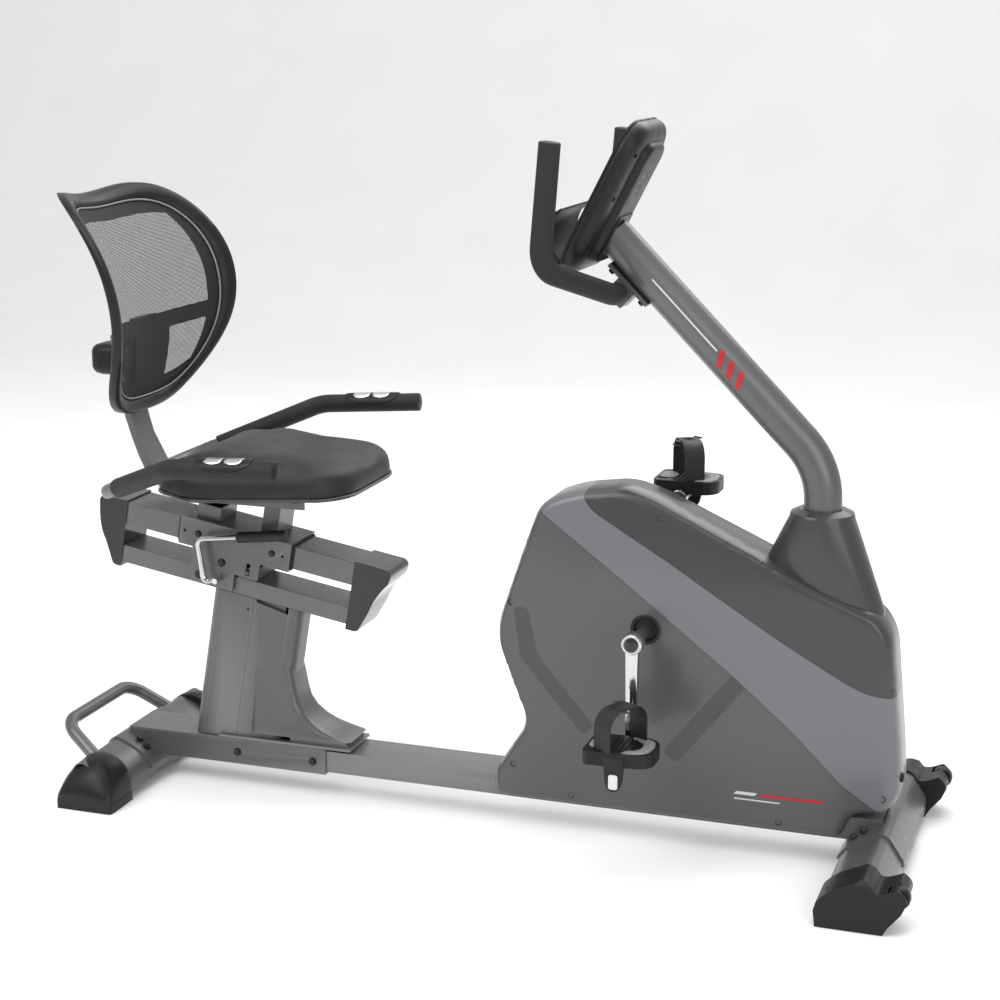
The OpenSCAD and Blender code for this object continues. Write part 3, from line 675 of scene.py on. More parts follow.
def patch_bmesh(outline, loops, spacing, place, extra=(), holes=()):
    """Fills a 2-D outline with even triangles, keeping the loops as edges, and places each point in space.
    Faces in loop i get material i + 1, faces in holes are left out."""
    points = [Vector(p) for p in outline]
    edges = [(k, (k + 1) % len(outline)) for k in range(len(outline))]
    for loop in list(loops) + list(holes):
        start = len(points)
        points += [Vector(p) for p in loop]
        edges += [(start + k, start + (k + 1) % len(loop)) for k in range(len(loop))]
    fixed = [tuple(p) for p in points]
    xs = [p[0] for p in outline]
    ys = [p[1] for p in outline]
    candidates = list(extra)
    rows = int((max(ys) - min(ys)) / spacing) + 1
    for row in range(rows + 1):
        shift = 0.5 * (row % 2)
        for column in range(int((max(xs) - min(xs)) / spacing) + 2):
            candidates.append((min(xs) + (column + shift) * spacing, min(ys) + row * spacing * 0.9))
    chosen = []
    near = {}
    cell = spacing * 0.45
    for x, y in fixed:
        near.setdefault((round(x / cell), round(y / cell)), []).append((x, y))
    for p in candidates:
        key = (round(p[0] / cell), round(p[1] / cell))
        close = any(math.hypot(p[0] - q[0], p[1] - q[1]) < cell * 0.6
                    for i in (-1, 0, 1) for j in (-1, 0, 1) for q in near.get((key[0] + i, key[1] + j), []))
        if not close and inside(p, outline):
            chosen.append(p)
            near.setdefault(key, []).append(p)
    result = delaunay_2d_cdt(points + [Vector(p) for p in chosen], edges, [], 0, 1e-6)
    bm = bmesh.new()
    flat = [tuple(v) for v in result[0]]
    verts = [bm.verts.new(place(*p)) for p in flat]
    for face in result[2]:
        centre = (sum(flat[k][0] for k in face) / 3, sum(flat[k][1] for k in face) / 3)
        if not inside(centre, outline) or any(inside(centre, h) for h in holes):
            continue
        made = bm.faces.new([verts[k] for k in face])
        for i, loop in enumerate(loops):
            if inside(centre, loop):
                made.material_index = i + 1
    for v in [v for v in bm.verts if not v.link_faces]:
        bm.verts.remove(v)
    return bm


# ---------------------------------------------------------------- housing

BEAM_CLEAR = 86.0
BEAM_SIDE = 40.5
CRANK_HOLE = 21.0
STRIPE_LIFT = 2.4
COVER_LIFT = 1.2
SEAM_DEPTH = 4.0
BAND_DEPTH = 1.3
HOUSING_LOOP = rounded(
    [(36, 46), (36, 92), (53, 118), (96, 184), (40, 312), (40, 350), (114, 560), (170, 582), (252, 594), (300, 580),
     (520, 478), (664, 417), (686, 380), (706, 190), (709, 126), (684, 93), (634, 90), (622, 46)], 26, 6)
STRIPE_TOP = [(186, 575), (205, 553), (338, 479), (507, 376), (621, 309), (655, 294), (690, 290), (740, 290)]
STRIPE_LOOP = [(740, 60), (708, 88), (680, 98), (620, 141), (540, 224), (441, 308), (257, 449), (96, 562), (96, 660),
               (225, 660)] + STRIPE_TOP
COVER_LOOP = STRIPE_TOP + [(740, 660), (232, 660)]
BANDS = [[(72, 384), (98, 384), (116, 308), (214, 196), (196, 178), (84, 300)],
         [(440, 308), (462, 288), (352, 148), (328, 166)]]
SIDE_BY_HEIGHT = [(40, 46), (70, 50), (190, 66), (440, 66), (560, 50), (620, 37)]
SIDE_BY_LENGTH = [(0, 32), (60, 52), (150, 66), (520, 66), (700, 45), (716, 32)]


def half_width(x, z):
    """Half width of the housing at a point of its side, before its rim is rounded."""
    steps = (-24, -12, 0, 12, 24)
    by_height = sum(table(SIDE_BY_HEIGHT, z + d) for d in steps) / len(steps)
    by_length = sum(table(SIDE_BY_LENGTH, x + d) for d in steps) / len(steps)
    soft = 5.0
    return -soft * math.log(math.exp(-by_height / soft) + math.exp(-by_length / soft)) + 1.5


def housing_y(x, z):
    """Distance of the housing's skin from the middle plane."""
    radius = sizes().housing_round / MM
    inset = min(radius, gap_to((x, z), HOUSING_LOOP))
    if not inside((x, z), HOUSING_LOOP):
        inset = 0.0
    return half_width(x, z) - radius + math.sqrt(radius ** 2 - (radius - inset) ** 2)


def rim_points():
    """Extra points just inside the rim, so that its rounding is smooth."""
    loop = fine(HOUSING_LOOP, 9)
    radius = sizes().housing_round / MM
    found = []
    for (x0, z0), (x1, z1) in zip(loop, loop[1:] + loop[:1]):
        length = math.hypot(x1 - x0, z1 - z0) or 1
        nx, nz = (z1 - z0) / length, -(x1 - x0) / length
        for share in (0.05, 0.18, 0.42, 0.75, 1.15):
            for sign in (1, -1):
                p = (x0 + sign * nx * radius * share, z0 + sign * nz * radius * share)
                if inside(p, HOUSING_LOOP) and gap_to(p, HOUSING_LOOP) > radius * share * 0.8:
                    found.append(p)
    return found


def ring_loop(x, z, radius, sides=32):
    return [(x + radius * a, z + radius * b) for a, b in circle(1, sides)]


def split_panel(source, indices, side, lift):
    """The faces of some materials as a panel with its own lip, raised by lift millimetres."""
    bm = bmesh.new()
    made = {}
    for face in source.faces:
        if face.material_index not in indices:
            continue
        corners = []
        for v in face.verts:
            if v.index not in made:
                made[v.index] = bm.verts.new(v.co + pt(0, side * lift, 0))
            corners.append(made[v.index])
        bm.faces.new(corners).material_index = indices.index(face.material_index)
    rim = [e for e in bm.edges if len(e.link_faces) == 1]
    inner = {}
    for v in {v for e in rim for v in e.verts}:
        x, z = v.co.x / MM, v.co.z / MM
        on_rim = gap_to((x, z), HOUSING_LOOP) < 0.6
        to_middle = BEAM_SIDE if z < BEAM_CLEAR else 0.0
        depth = to_middle if on_rim else abs(v.co.y) / MM - SEAM_DEPTH
        inner[v] = bm.verts.new((v.co.x, side * depth * MM, v.co.z))
    for e in rim:
        a, b = e.verts
        bm.faces.new((a, b, inner[b], inner[a])).material_index = e.link_faces[0].material_index
    return bm


def housing_panels(side):
    """Main shell, stripe panel and cover of one side, as three bmeshes."""
    outline = fine(HOUSING_LOOP, 7)
    loops = [fine(rounded(STRIPE_LOOP, 12, 4), 10), fine(rounded(COVER_LOOP, 12, 4), 10)]
    # The V band loops also mark the faces that take the painted-shade finish.
    loops += [fine(rounded(b, 9, 4), 8) for b in BANDS]

    def place(x, z):
        sunk = max(0.0, *(min(1.0, gap_to((x, z), b) / 5) if inside((x, z), b) else 0.0 for b in BANDS))
        return pt(x, side * (housing_y(x, z) - BAND_DEPTH * sunk), z)

    hole = ring_loop(CRANK.x / MM, CRANK.z / MM, CRANK_HOLE)
    whole = patch_bmesh(outline, loops, 13, place, rim_points(), [hole])
    whole.verts.index_update()
    main = split_panel(whole, [0, 3, 4], side, 0)
    stripe = split_panel(whole, [1], side, STRIPE_LIFT)
    cover = split_panel(whole, [2], side, COVER_LIFT)
    whole.free()
    return main, stripe, cover


class BIKE_OT_housing(bpy.types.Operator):
    """Build the housing shells, side stripes, top cover, post collar and their screws"""

    bl_idname = "bike.housing"
    bl_label = "Housing"

    def execute(self, context):
        covers = []
        for word, side in SIDES.items():
            main, stripe, cover = housing_panels(side)
            # The sunk V bands on the main shell take the darker band finish: painted shade of the recesses.
            piece(f"shroud_{word}_finish", to_mesh(main, "shroud", 40), "root", "shroud_plastic", "shroud_plastic",
                  "shroud_band_painted_shade", "shroud_band_painted_shade", replaces=(f"shroud_{word}",))
            made = piece(f"side_trim_{word}", to_mesh(stripe, "trim", 40), "root", "stripe_plastic")
            if side > 0:
                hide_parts("side_trims")
            covers.append(cover)
        both = bmesh.new()
        for cover in covers:
            data = bpy.data.meshes.new("half")
            cover.to_mesh(data)
            cover.free()
            both.from_mesh(data)
        bmesh.ops.remove_doubles(both, verts=both.verts, dist=2e-5)
        piece("top_cover_finish", to_mesh(both, "cover", 40), "root", "cover_plastic", replaces=("top_cover",))
        self.collar()
        self.crank_seals()
        self.screws()
        self.marks()
        return {"FINISHED"}

    def collar(self):
        """The cone that rises from the top cover to the post, with its chamfered ring."""
        post_x = 563.0
        count = 64
        levels = [(31.2, 575.2), (36.0, 575.6), (49.0, 569.5), (50.6, 566.5), (51.2, 562.0)]
        rings = [[pt(post_x + r * c, r * s, z) for c, s in circle(1, count)] for r, z in levels]
        base = []
        for c, s in circle(1, count):
            x, y = 574 + 93 * c, 50 * s
            z = 478 - (x - 520) * (0.4236 if x > 520 else 0.4636)
            base.append(pt(x, y, z + 1.5))
        top = rings[-1]
        for t in (0.12, 0.3, 0.5, 0.7, 0.85, 0.94, 1.0):
            bow = 1 + 0.05 * math.sin(math.pi * t)
            ring = []
            for p, q in zip(top, base):
                r = p.lerp(q, t)
                ring.append(Vector((r.x, r.y * bow, r.z)))
            rings.append(ring)
        rings.append([q + pt(0, 0, -9) for q in base])
        piece("post_cone_finish", rings_mesh("cone", rings, smooth=24), "root", "shroud_plastic", "cover_plastic",
              replaces=("post_cone",))

    def crank_seals(self):
        """Dark rings where the crank axle leaves the housing."""
        for word, side in SIDES.items():
            y = housing_y(CRANK.x / MM, CRANK.z / MM)
            centre = Vector((CRANK.x, side * (y - 7) * MM, CRANK.z))
            profile = [(9.4, 0), (20.4, 0), (20.8, 6), (24.6, 6.6), (25, 8.2),
                       (23.8, 9), (19.5, 8.6), (17, 4), (9.4, 3.4)]
            piece(f"crank_seal_{word}", turned("seal", profile, centre, Vector((0, side, 0))), "root",
                  "black_plastic")

    def screws(self):
        places = [(314, 550), (67, 390), (72, 109), (172, 65), (519, 64), (683, 124)]
        for word, side in SIDES.items():
            for i, (x, z) in enumerate(places):
                y = housing_y(x, z) + (STRIPE_LIFT if i == 5 else COVER_LIFT if i == 0 else 0)
                profile = [(0.3, -2.2), (5.6, -2.2), (5.8, 0.2), (5.2, 0.7), (4.2, 0.5),
                           (3.8, -1.0), (0.3, -1.1)]
                # The screw heads take the darker gloss_black finish: partly the screws' own black, partly painted
                # shade of the recesses they sit in.
                made = piece(f"housing_screw_{word}_{i + 1}",
                             turned("screw", profile, pt(x, side * y, z), Vector((0, side, 0)), 24), "root",
                             "bolt_black", "gloss_black")
                if i == 0 and side > 0:
                    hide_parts("shroud_screws")

    def marks(self):
        """Plain printed stripes low on the side."""
        for word, side in SIDES.items():
            for name, finish, x0, x1, z0, height in (("long", "accent_ink", 487, 588, 106, 5.5),
                                                     ("short", "white_ink", 446, 480, 106, 5.5),
                                                     ("thin", "white_ink", 446, 520, 97, 2.5)):
                loop = fine([(x0, z0), (x1, z0), (x1 + height, z0 + height), (x0 + height, z0 + height)], 6)

                def place(x, z):
                    return pt(x, side * (housing_y(x, z) + 0.35), z)

                bm = patch_bmesh(loop, [], 5, place)
                piece(f"side_mark_{name}_{word}", to_mesh(bm, "mark"), "root", "stripe_plastic", finish)


# ---------------------------------------------------------------- frame, base and rails

POST_CORNER = pt(563, 0, 640)
POST_TOP = pt(203, 0, 1005)
POST_RADIUS = 30 * MM
PRINT_LIFT = 0.3 * MM
BAR_RADIUS = 12.5 * MM
GRIP_RADIUS = 17 * MM
CLAMP = pt(237, 0, 902)


def mirrored(points):
    return [Vector((p.x, -p.y, p.z)) for p in points]


class BIKE_OT_frame(bpy.types.Operator):
    """Finish the beams, stabilisers, seat column, rails and drive frame"""

    bl_idname = "bike.frame"
    bl_label = "Frame"

    def execute(self, context):
        for node in ("front_beam", "rear_beam", "upper_rail", "lower_rail", "column_cover_front",
                     "column_cover_rear", "seat_column"):
            soften(node, "frame_paint")
        for node in ("rear_stabiliser", "front_stabiliser"):
            soften(node, "frame_paint", 0.0008, angle=40)
        for node in ("drive_frame", "crank_bearings", "resistance_motor", "drive_belt", "drive_pulley", "flywheel",
                     "magnet_bracket", "crank_axle", "power_inlet"):
            slots = {"drive_frame": "dark_steel", "crank_bearings": "steel", "resistance_motor": "black_plastic",
                     "drive_belt": "belt_rubber", "drive_pulley": "black_plastic", "flywheel": "flywheel_iron",
                     "magnet_bracket": "steel", "crank_axle": "steel", "power_inlet": "black_plastic"}
            soften(node, slots[node], 0.0007)
        self.handle()
        self.post()
        self.flare()
        self.bolts()
        return {"FINISHED"}

    def flare(self):
        """Smooth foot that the front column cover spreads into above the beam."""
        levels = [(262, -350, 31), (236, -345, 35.4), (205, -338.5, 36.8), (180, -334, 37.2), (160, -329, 37.8),
                  (143, -318, 38.8), (128, -300, 40.4), (117, -279, 42), (109, -254, 43.2), (103, -230, 43.8)]
        rings = []
        for z, front, half in levels:
            middle = (front - 420) / 2
            long = (front + 420) / 2
            rings.append([pt(middle + a, b, z) for a, b in round_rect(long, half, 15, 8)])
        piece("column_flare", rings_mesh("flare", rings, smooth=40), "root", "frame_paint")

    def handle(self):
        path = [pt(-668, -138, 56), pt(-744, -112, 106), pt(-744, 112, 106), pt(-668, 138, 56)]
        mesh = tube("handle", path, 11.5 * MM, 0.042)
        piece("transport_handle_finish", mesh, "root", "frame_paint", replaces=("transport_handle",))

    def post(self):
        reach = (POST_TOP - POST_CORNER).normalized()
        end = POST_TOP - reach * 0.022
        mesh = tube("post", [pt(563, 0, 470), POST_CORNER, end], POST_RADIUS, 0.13, 48)
        piece("post_tube_finish", mesh, "root", "frame_paint", replaces=("post_tube",))
        self.post_marks(reach)

    def post_marks(self, reach):
        """Plain printed stripes on both sides of the post."""
        out = reach.cross(Vector((0, 1, 0)))
        rows = [("bar", "white_ink", 245, 395, 8, 13, 0), ("red_1", "accent_ink", 175, 186, -22, 26, 14),
                ("red_2", "accent_ink", 197, 208, -22, 26, 14), ("red_3", "accent_ink", 219, 230, -22, 26, 14)]
        for word, side in SIDES.items():
            for name, finish, s0, s1, a0, a1, slant in rows:
                bm = bmesh.new()
                steps = 12
                grid = []
                for i in range(steps + 1):
                    angle = math.radians(lerp(a0, a1, i / steps))
                    normal = (Vector((0, side, 0)) * math.cos(angle) - out * math.sin(angle))
                    shift = slant * (i / steps)
                    skin = POST_CORNER + normal * (POST_RADIUS + PRINT_LIFT)
                    grid.append([bm.verts.new(skin + reach * ((s + shift) * MM)) for s in (s0, s1)])
                for low, high in zip(grid, grid[1:]):
                    bm.faces.new((low[0], low[1], high[1], high[0]))
                piece(f"post_mark_{name}_{word}", to_mesh(bm, "mark"), "root", "stripe_plastic", finish)

    def bolts(self):
        made = []
        for word, side in SIDES.items():
            for i, x in enumerate((-443, -299)):
                made.append((f"sleeve_bolt_{word}_{i + 1}", pt(x, side * 44.1, 64), Vector((0, side, 0)), 5.2, 4.6))
            for name, x, lean in (("rear", -641 + 28.6, 1), ("front", 671 - 28.6, -1)):
                for j, (back_x, up) in enumerate(((0, 0), (-15, 14))):
                    normal = Vector((lean * 0.6, 0, 0.8))
                    centre = pt(x + lean * back_x, side * (64 - 4 * j), 60 + up * 0.85)
                    made.append((f"{name}_bolt_{word}_{j + 1}", centre, normal, 5.2, 5))
        for name, centre, axis, flat, height in made:
            obj = piece(name, hexagon_head(name, centre, axis, flat * MM, height * MM), "root", "bolt_black")
            if name == "rear_bolt_left_1":
                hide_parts("frame_bolts")


class BIKE_OT_base_caps(bpy.types.Operator):
    """Build the end caps of the stabilisers, the transport wheels and the rail caps"""

    bl_idname = "bike.base_caps"
    bl_label = "Base caps and wheels"

    def execute(self, context):
        soften("front_feet", "black_plastic", 0.0012, segments=2)
        self.rear_caps()
        soften("rail_caps", "black_plastic", 0.003, "gloss_black", 4)
        for word, side in SIDES.items():
            self.wheel(word, side)
        return {"FINISHED"}

    def rear_caps(self):
        """Domed end caps of the rear stabiliser, in one mesh."""
        low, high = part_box("rear_feet")
        middle, half = (low[0] + high[0]) / 2, (high[0] - low[0]) / 2
        both = bmesh.new()
        levels = [(0.0, 0.40, 0.94), (0.02, 0.46, 0.97), (0.08, 0.58, 0.99), (0.18, 0.73, 1.0), (0.32, 0.87, 1.0),
                  (0.5, 0.96, 1.0), (0.75, 0.995, 1.0), (0.97, 1.0, 1.0), (1.0, 0.985, 0.985)]
        for side in SIDES.values():
            rings = []
            for share, tall, wide in levels:
                y = side * (high[1] - share * 0.077)
                top, w, sole = high[2] * tall, half * wide, 0.016
                loop = [(-w, 0.0), (w, 0.0), (w, sole), (w * 0.985, sole + 0.0012)]
                for k in range(13):
                    g = math.pi * k / 12
                    loop.append((w * 0.985 * math.cos(g), sole + 0.0012 + (top - sole - 0.0012) * math.sin(g) ** 0.8))
                loop += [(-w * 0.985, sole + 0.0012), (-w, sole)]
                rings.append([Vector((middle + a, y, b)) for a, b in loop])
            mesh = rings_mesh("cap", rings, smooth=35)
            both.from_mesh(mesh)
            bpy.data.meshes.remove(mesh)
        piece("rear_feet_finish", to_mesh(both, "caps", 35), "root", "black_plastic", replaces=("rear_feet",))

    def wheel(self, word, side):
        centre = WHEELS[word]
        tyre = [(4.3, -8), (10.6, -8), (11.4, -10), (14.6, -10), (16.4, -7.5), (17, -4),
                (17, 4), (16.4, 7.5), (14.6, 10), (11.4, 10), (10.6, 8), (4.3, 8)]
        piece(f"wheel_{word}_finish", turned("wheel", tyre, centre, Vector((0, 1, 0)), 40), f"wheel_{word}",
              "belt_rubber", "black_plastic", replaces=(f"wheel_{word}",))


# ---------------------------------------------------------------- console and front bar

FACE_UP = Vector((0, 1, 0)).cross(FACE_IN).normalized()
if FACE_UP.z < 0:
    FACE_UP = -FACE_UP
CONSOLE = pt(222, 0, 1048)


def on_console(x, y, z):
    return CONSOLE + FACE_IN * (x * MM) + Vector((0, y * MM, 0)) + FACE_UP * (z * MM)


def round_rect(w, h, r, steps=8):
    """Half sizes w and h, corner radius r."""
    loop = []
    for cx, cy, a in ((w - r, h - r, 0), (r - w, h - r, 90), (r - w, r - h, 180), (w - r, r - h, 270)):
        for k in range(steps + 1):
            g = math.radians(a + 90 * k / steps)
            loop.append((cx + r * math.cos(g), cy + r * math.sin(g)))
    return loop


class BIKE_OT_console(bpy.types.Operator):
    """Build the console, its screen, keys and tablet ledge"""

    bl_idname = "bike.console"
    bl_label = "Console"

    def execute(self, context):
        levels = [(-11.9, 90, 120, 42), (-12, 96.5, 126.5, 47), (-10.5, 97.6, 127.6, 48), (-2, 97.4, 127.4, 48),
                  (4, 95.6, 126, 48), (9, 91, 122.5, 46), (12.6, 85, 118, 43), (15, 77, 112.5, 40),
                  (16.2, 66, 106, 35), (16.4, 50, 96, 28)]
        rings = [[on_console(x, a, b) for a, b in round_rect(w, h, r)] for x, w, h, r in levels]
        piece("console_back_finish", rings_mesh("console", rings, smooth=50), "root", "black_plastic",
              replaces=("console_back",))
        boss = [(15, 53, 104, 26), (21, 51, 102.5, 25), (24.5, 48.6, 100.6, 24), (26.2, 45.5, 98, 22),
                (26.8, 41, 94, 19)]
        rings = [[on_console(x, a, b) for a, b in round_rect(w, h, r, 6)] for x, w, h, r in boss]
        piece("console_spine", rings_mesh("spine", rings, smooth=50), "root", "black_plastic")
        self.plate()
        soften("console_face", "black_plastic", 0.0012)
        soften("console_screen", "screen", 0.0006)
        soften("tablet_ledge", "black_plastic", 0.003, segments=4)
        for node in ("button_up", "button_down", "button_start"):
            soften(node, "button_plastic", 0.0012)
        self.back_details()
        return {"FINISHED"}

    def plate(self):
        """Service plate around the end of the post."""
        levels = [(26, 38, 40, 4), (28.2, 38, 40, 4), (28.8, 37.2, 39.2, 3.4)]
        rings = [[on_console(x, a, b - 57) for a, b in round_rect(w, h, r, 4)] for x, w, h, r in levels]
        piece("console_plate", rings_mesh("plate", rings, smooth=30), "root", "black_plastic")

    def back_details(self):
        """Vent slots and screws in the back of the console."""
        for i, (y, z) in enumerate([(y, z) for y in (-18, 18) for z in (28, 40, 52)]):
            loop = round_rect(8, 1.7, 1.6, 4)
            rings = [[on_console(x, y + a * k, z + b * k) for a, b in loop]
                     for x, k in ((26.5, 1), (27.3, 1), (27.3, 0.8), (26.9, 0.78))]
            piece(f"console_vent_{i + 1}", rings_mesh("vent", rings, smooth=30), "root", "black_plastic",
                  "gloss_black")
        for i, (y, z) in enumerate([(y, z) for y in (-76, 76) for z in (-78, 10, 84)] + [(-26, -88), (26, -88)]):
            high = 26.6 if abs(y) < 40 else 15.4
            profile = [(0.2, 0), (3.4, 0), (3.3, 1.2), (2.4, 1.7), (1.4, 1.5), (0.2, 0.9)]
            piece(f"console_screw_{i + 1}", turned("screw", profile, on_console(high, y, z), FACE_IN, 20), "root",
                  "bolt_black")


class BIKE_OT_front_bar(bpy.types.Operator):
    """Build the front handlebar, its foam grips and the clamp"""

    bl_idname = "bike.front_bar"
    bl_label = "Front handlebar"

    def execute(self, context):
        half = [CLAMP - pt(0, 60, 0), pt(162, -205, 955), pt(177, -205, 1139)]
        bar = list(reversed(half)) + mirrored(half)
        piece("front_handlebar_finish", tube("bar", bar, BAR_RADIUS, 0.045), "root", "frame_paint",
              replaces=("front_handlebar",))
        grip = [CLAMP - pt(0, 40, 0)] + half[:2] + [half[2] + pt(0.3, 0, 4)]
        for word, side in SIDES.items():
            path = grip if side < 0 else mirrored(grip)
            mesh = tube("grip", path, GRIP_RADIUS, 0.045, 32, end_round=0.003)
            made = piece(f"front_grip_{word}", mesh, "root", "grip_foam")
            if side > 0:
                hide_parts("front_grips")
            top = path[-1]
            up = (path[-1] - path[-2]).normalized()
            profile = [(0.3, -6), (11.8, -6), (12, 0.6), (9, 1.6), (0.3, 2.2)]
            piece(f"front_plug_{word}", turned("plug", profile, top - up * 0.0006, up, 28), "root", "grip_foam",
                  "black_plastic")
        soften("handlebar_clamp", "dark_steel", 0.0012)
        self.clamp_bolts()
        return {"FINISHED"}

    def clamp_bolts(self):
        out = Vector((-1, 0, -1)).normalized()
        along = Vector((-1, 0, 1)).normalized()
        for i, (s, y) in enumerate([(s, y) for s in (-34, 34) for y in (-14, 14)]):
            centre = CLAMP - out * 0.0135 + along * (s * MM) + pt(0, y, 0)
            piece(f"clamp_bolt_{i + 1}", hexagon_head("clamp_bolt", centre, out, 0.005, 0.006), "root", "bolt_black")


# ---------------------------------------------------------------- cranks and pedals

class BIKE_OT_cranks(bpy.types.Operator):
    """Build the crank arms with their hubs and caps"""

    bl_idname = "bike.cranks"
    bl_label = "Cranks"

    def execute(self, context):
        whole = bmesh.new()
        for word, side in SIDES.items():
            self.arm(whole, side)
            y = side * 151.2 * MM
            centre = Vector((CRANK.x, y, CRANK.z))
            axis = Vector((0, side, 0))
            ring = [(9, -1.5), (15.4, -1.5), (15.8, 0.2), (15, 1.4), (12.6, 1.4), (11.8, 0.4),
                    (9, 0.2)]
            piece(f"crank_ring_{word}", turned("ring", ring, centre, axis, 40), "crankset", "crank_chrome")
            cap = [(0.3, 0), (11.4, 0), (11.2, 1.6), (8, 2.6), (0.3, 2.9)]
            piece(f"crank_cap_{word}", turned("cap", cap, centre, axis, 36), "crankset", "black_plastic",
                  "gloss_black")
        piece("crank_arms_finish", to_mesh(whole, "arms", 32), "crankset", "crank_chrome", replaces=("crank_arms",))
        return {"FINISHED"}

    def arm(self, whole, side):
        """Hub, flat tapered arm and pedal end, hanging down on the right and up on the left."""
        down = Vector((0, 0, 1 if side > 0 else -1))
        reach = 170.0
        levels = [(0, 12.5, 136.5, 149), (18, 10.6, 137, 149), (reach * 0.5, 9.6, 137.5, 148.6),
                  (reach - 16, 9.2, 136.5, 148.6), (reach, 9.6, 136.5, 148.6)]
        rings = []
        for s, half, low, high in levels:
            edge = 2.6
            loop = [(-half, low + edge), (-half, high - edge), (-half + edge * 0.3, high - edge * 0.3),
                    (-half + edge, high), (half - edge, high), (half - edge * 0.3, high - edge * 0.3),
                    (half, high - edge), (half, low + edge), (half - edge * 0.3, low + edge * 0.3), (half - edge, low),
                    (-half + edge, low), (-half + edge * 0.3, low + edge * 0.3)]
            rings.append([Vector((CRANK.x, 0, CRANK.z)) + pt(a, side * b, 0) + down * (s * MM) for a, b in loop])
        self.add(whole, rings_mesh("arm", rings, smooth=28))
        for s, radius, low, high in ((0, 17, 128, 151), (reach, 14, 134, 149)):
            centre = Vector((CRANK.x, side * low * MM, CRANK.z)) + down * (s * MM)
            height = high - low
            profile = [(0.3, 0), (radius - 1.6, 0), (radius - 0.4, 0.5), (radius, 1.8),
                       (radius, height - 1.8), (radius - 0.4, height - 0.5),
                       (radius - 1.6, height), (0.3, height)]
            self.add(whole, turned("hub", profile, centre, Vector((0, side, 0)), 48))

    def add(self, whole, mesh):
        whole.from_mesh(mesh)
        bpy.data.meshes.remove(mesh)


class BIKE_OT_pedals(bpy.types.Operator):
    """Build the pedals with their pads, ribs, reflectors and straps"""

    bl_idname = "bike.pedals"
    bl_label = "Pedals"

    def execute(self, context):
        for word, side in SIDES.items():
            self.body(word, side)
            self.strap(word, side)
        return {"FINISHED"}

    def body(self, word, side):
        """Rounded tray with a raised rim, a ribbed middle and two grey pads."""
        base = PEDALS[word]
        body = f"pedal_{word}"
        soften(body, "black_plastic", 0.002, segments=3)

        def at(x, y, z):
            return base + pt(x, side * y, z)

        pads = [("toe", [(8, 168), (30, 165), (48, 174), (54, 200), (50, 228), (34, 240), (8, 241), (14, 228),
                         (30, 222), (36, 204), (32, 186), (18, 178)]),
                ("heel", [(-46, 186), (-30, 182), (-18, 194), (-18, 216), (-30, 228), (-46, 224), (-49, 205)])]
        for name, loop in pads:
            loop = fine(rounded(loop, 8, 4), 5)
            if side > 0:
                loop = list(reversed(loop))

            def place(x, y):
                edge = min(1.0, gap_to((x, y), loop) / 3.0) if inside((x, y), loop) else 0.0
                return at(x, y, 24.15 + 1.7 * math.sqrt(1 - (1 - edge) ** 2))

            piece(f"pedal_pad_{name}_{word}", to_mesh(patch_bmesh(loop, [], 4, place), "pad", 60), body,
                  "black_plastic", "pad_grey")
        for i, x in enumerate((-12, -4, 4, 12, 20)):
            rings = []
            for y in (172, 174, 232, 234):
                high = 1.4 if y in (174, 232) else 0.0
                rings.append([at(x + a, y, 24.0 + b * high) for a, b in ((-1.6, 0), (-1.1, 1), (1.1, 1), (1.6, 0))])
            piece(f"pedal_rib_{i + 1}_{word}", rings_mesh("rib", rings, smooth=30), body, "black_plastic")
        loop = round_rect(7.5, 12, 4, 5)
        rings = [[at(a * k, 247 + h, -22 + b * k) for a, b in loop] for h, k in ((0.0, 1), (0.9, 0.97), (1.3, 0.88))]
        piece(f"pedal_reflector_{word}", rings_mesh("reflector", rings, smooth=25), body, "black_plastic",
              "reflector")

    def strap(self, word, side):
        """Wide rubber strap over the foot, with a ladder of slots and a buckle; the slots are dark gloss pills,
        painted shade where the holes are.
        """
        base = PEDALS[word]
        body = f"pedal_{word}"
        made = soften(f"strap_{word}", "strap_rubber", 0.0009, segments=2)
        turn = math.radians(28) * -side
        centre = base + pt(0, side * 205, 0)
        across = Vector((math.cos(turn + math.pi / 2), math.sin(turn + math.pi / 2), 0))
        ahead = Vector((math.cos(turn), math.sin(turn), 0))
        surface = self.crest(made, centre, across)
        for i, share in enumerate((0.26, 0.34, 0.42, 0.5, 0.58, 0.66, 0.74)):
            p, t = surface(share)
            n = ahead.cross(t).normalized()
            if n.z < 0 and abs(n.z) > 0.2:
                n = -n
            # Each slot is a darker gloss pill on the strap: painted shade, not an opening.
            loop = round_rect(9, 1.7, 1.5, 3)
            rings = [[p + n * (h * MM) + ahead * (a * k * MM) + t * (b * k * MM) for a, b in loop]
                     for h, k in ((-0.4, 1), (0.35, 1), (0.35, 0.84), (-0.2, 0.8))]
            piece(f"strap_slot_{i + 1}_{word}", rings_mesh("slot", rings, smooth=25), body, "strap_rubber",
                  "gloss_black")

    def crest(self, made, centre, across):
        """A function giving the outer point and direction of the strap at a share of its length."""
        points = {}
        for v in made.data.vertices:
            local = v.co
            world = made.matrix_world @ local
            rel = world - centre
            angle = math.atan2(rel.z, rel.dot(across))
            key = round(angle / 0.06)
            size = math.hypot(rel.z, rel.dot(across))
            flat = Vector((0, 0, rel.z)) + across * rel.dot(across)
            if key not in points or points[key][0] < size:
                points[key] = (size, flat)
        keys = sorted(points)
        line = [centre + points[k][1] for k in keys]

        def surface(share):
            s = share * (len(line) - 1)
            i = min(int(s), len(line) - 2)
            p = line[i].lerp(line[i + 1], s - i)
            low, high = max(0, i - 1), min(len(line) - 1, i + 2)
            return p, (line[high] - line[low]).normalized()

        return surface


# ---------------------------------------------------------------- carriage, lever and lock

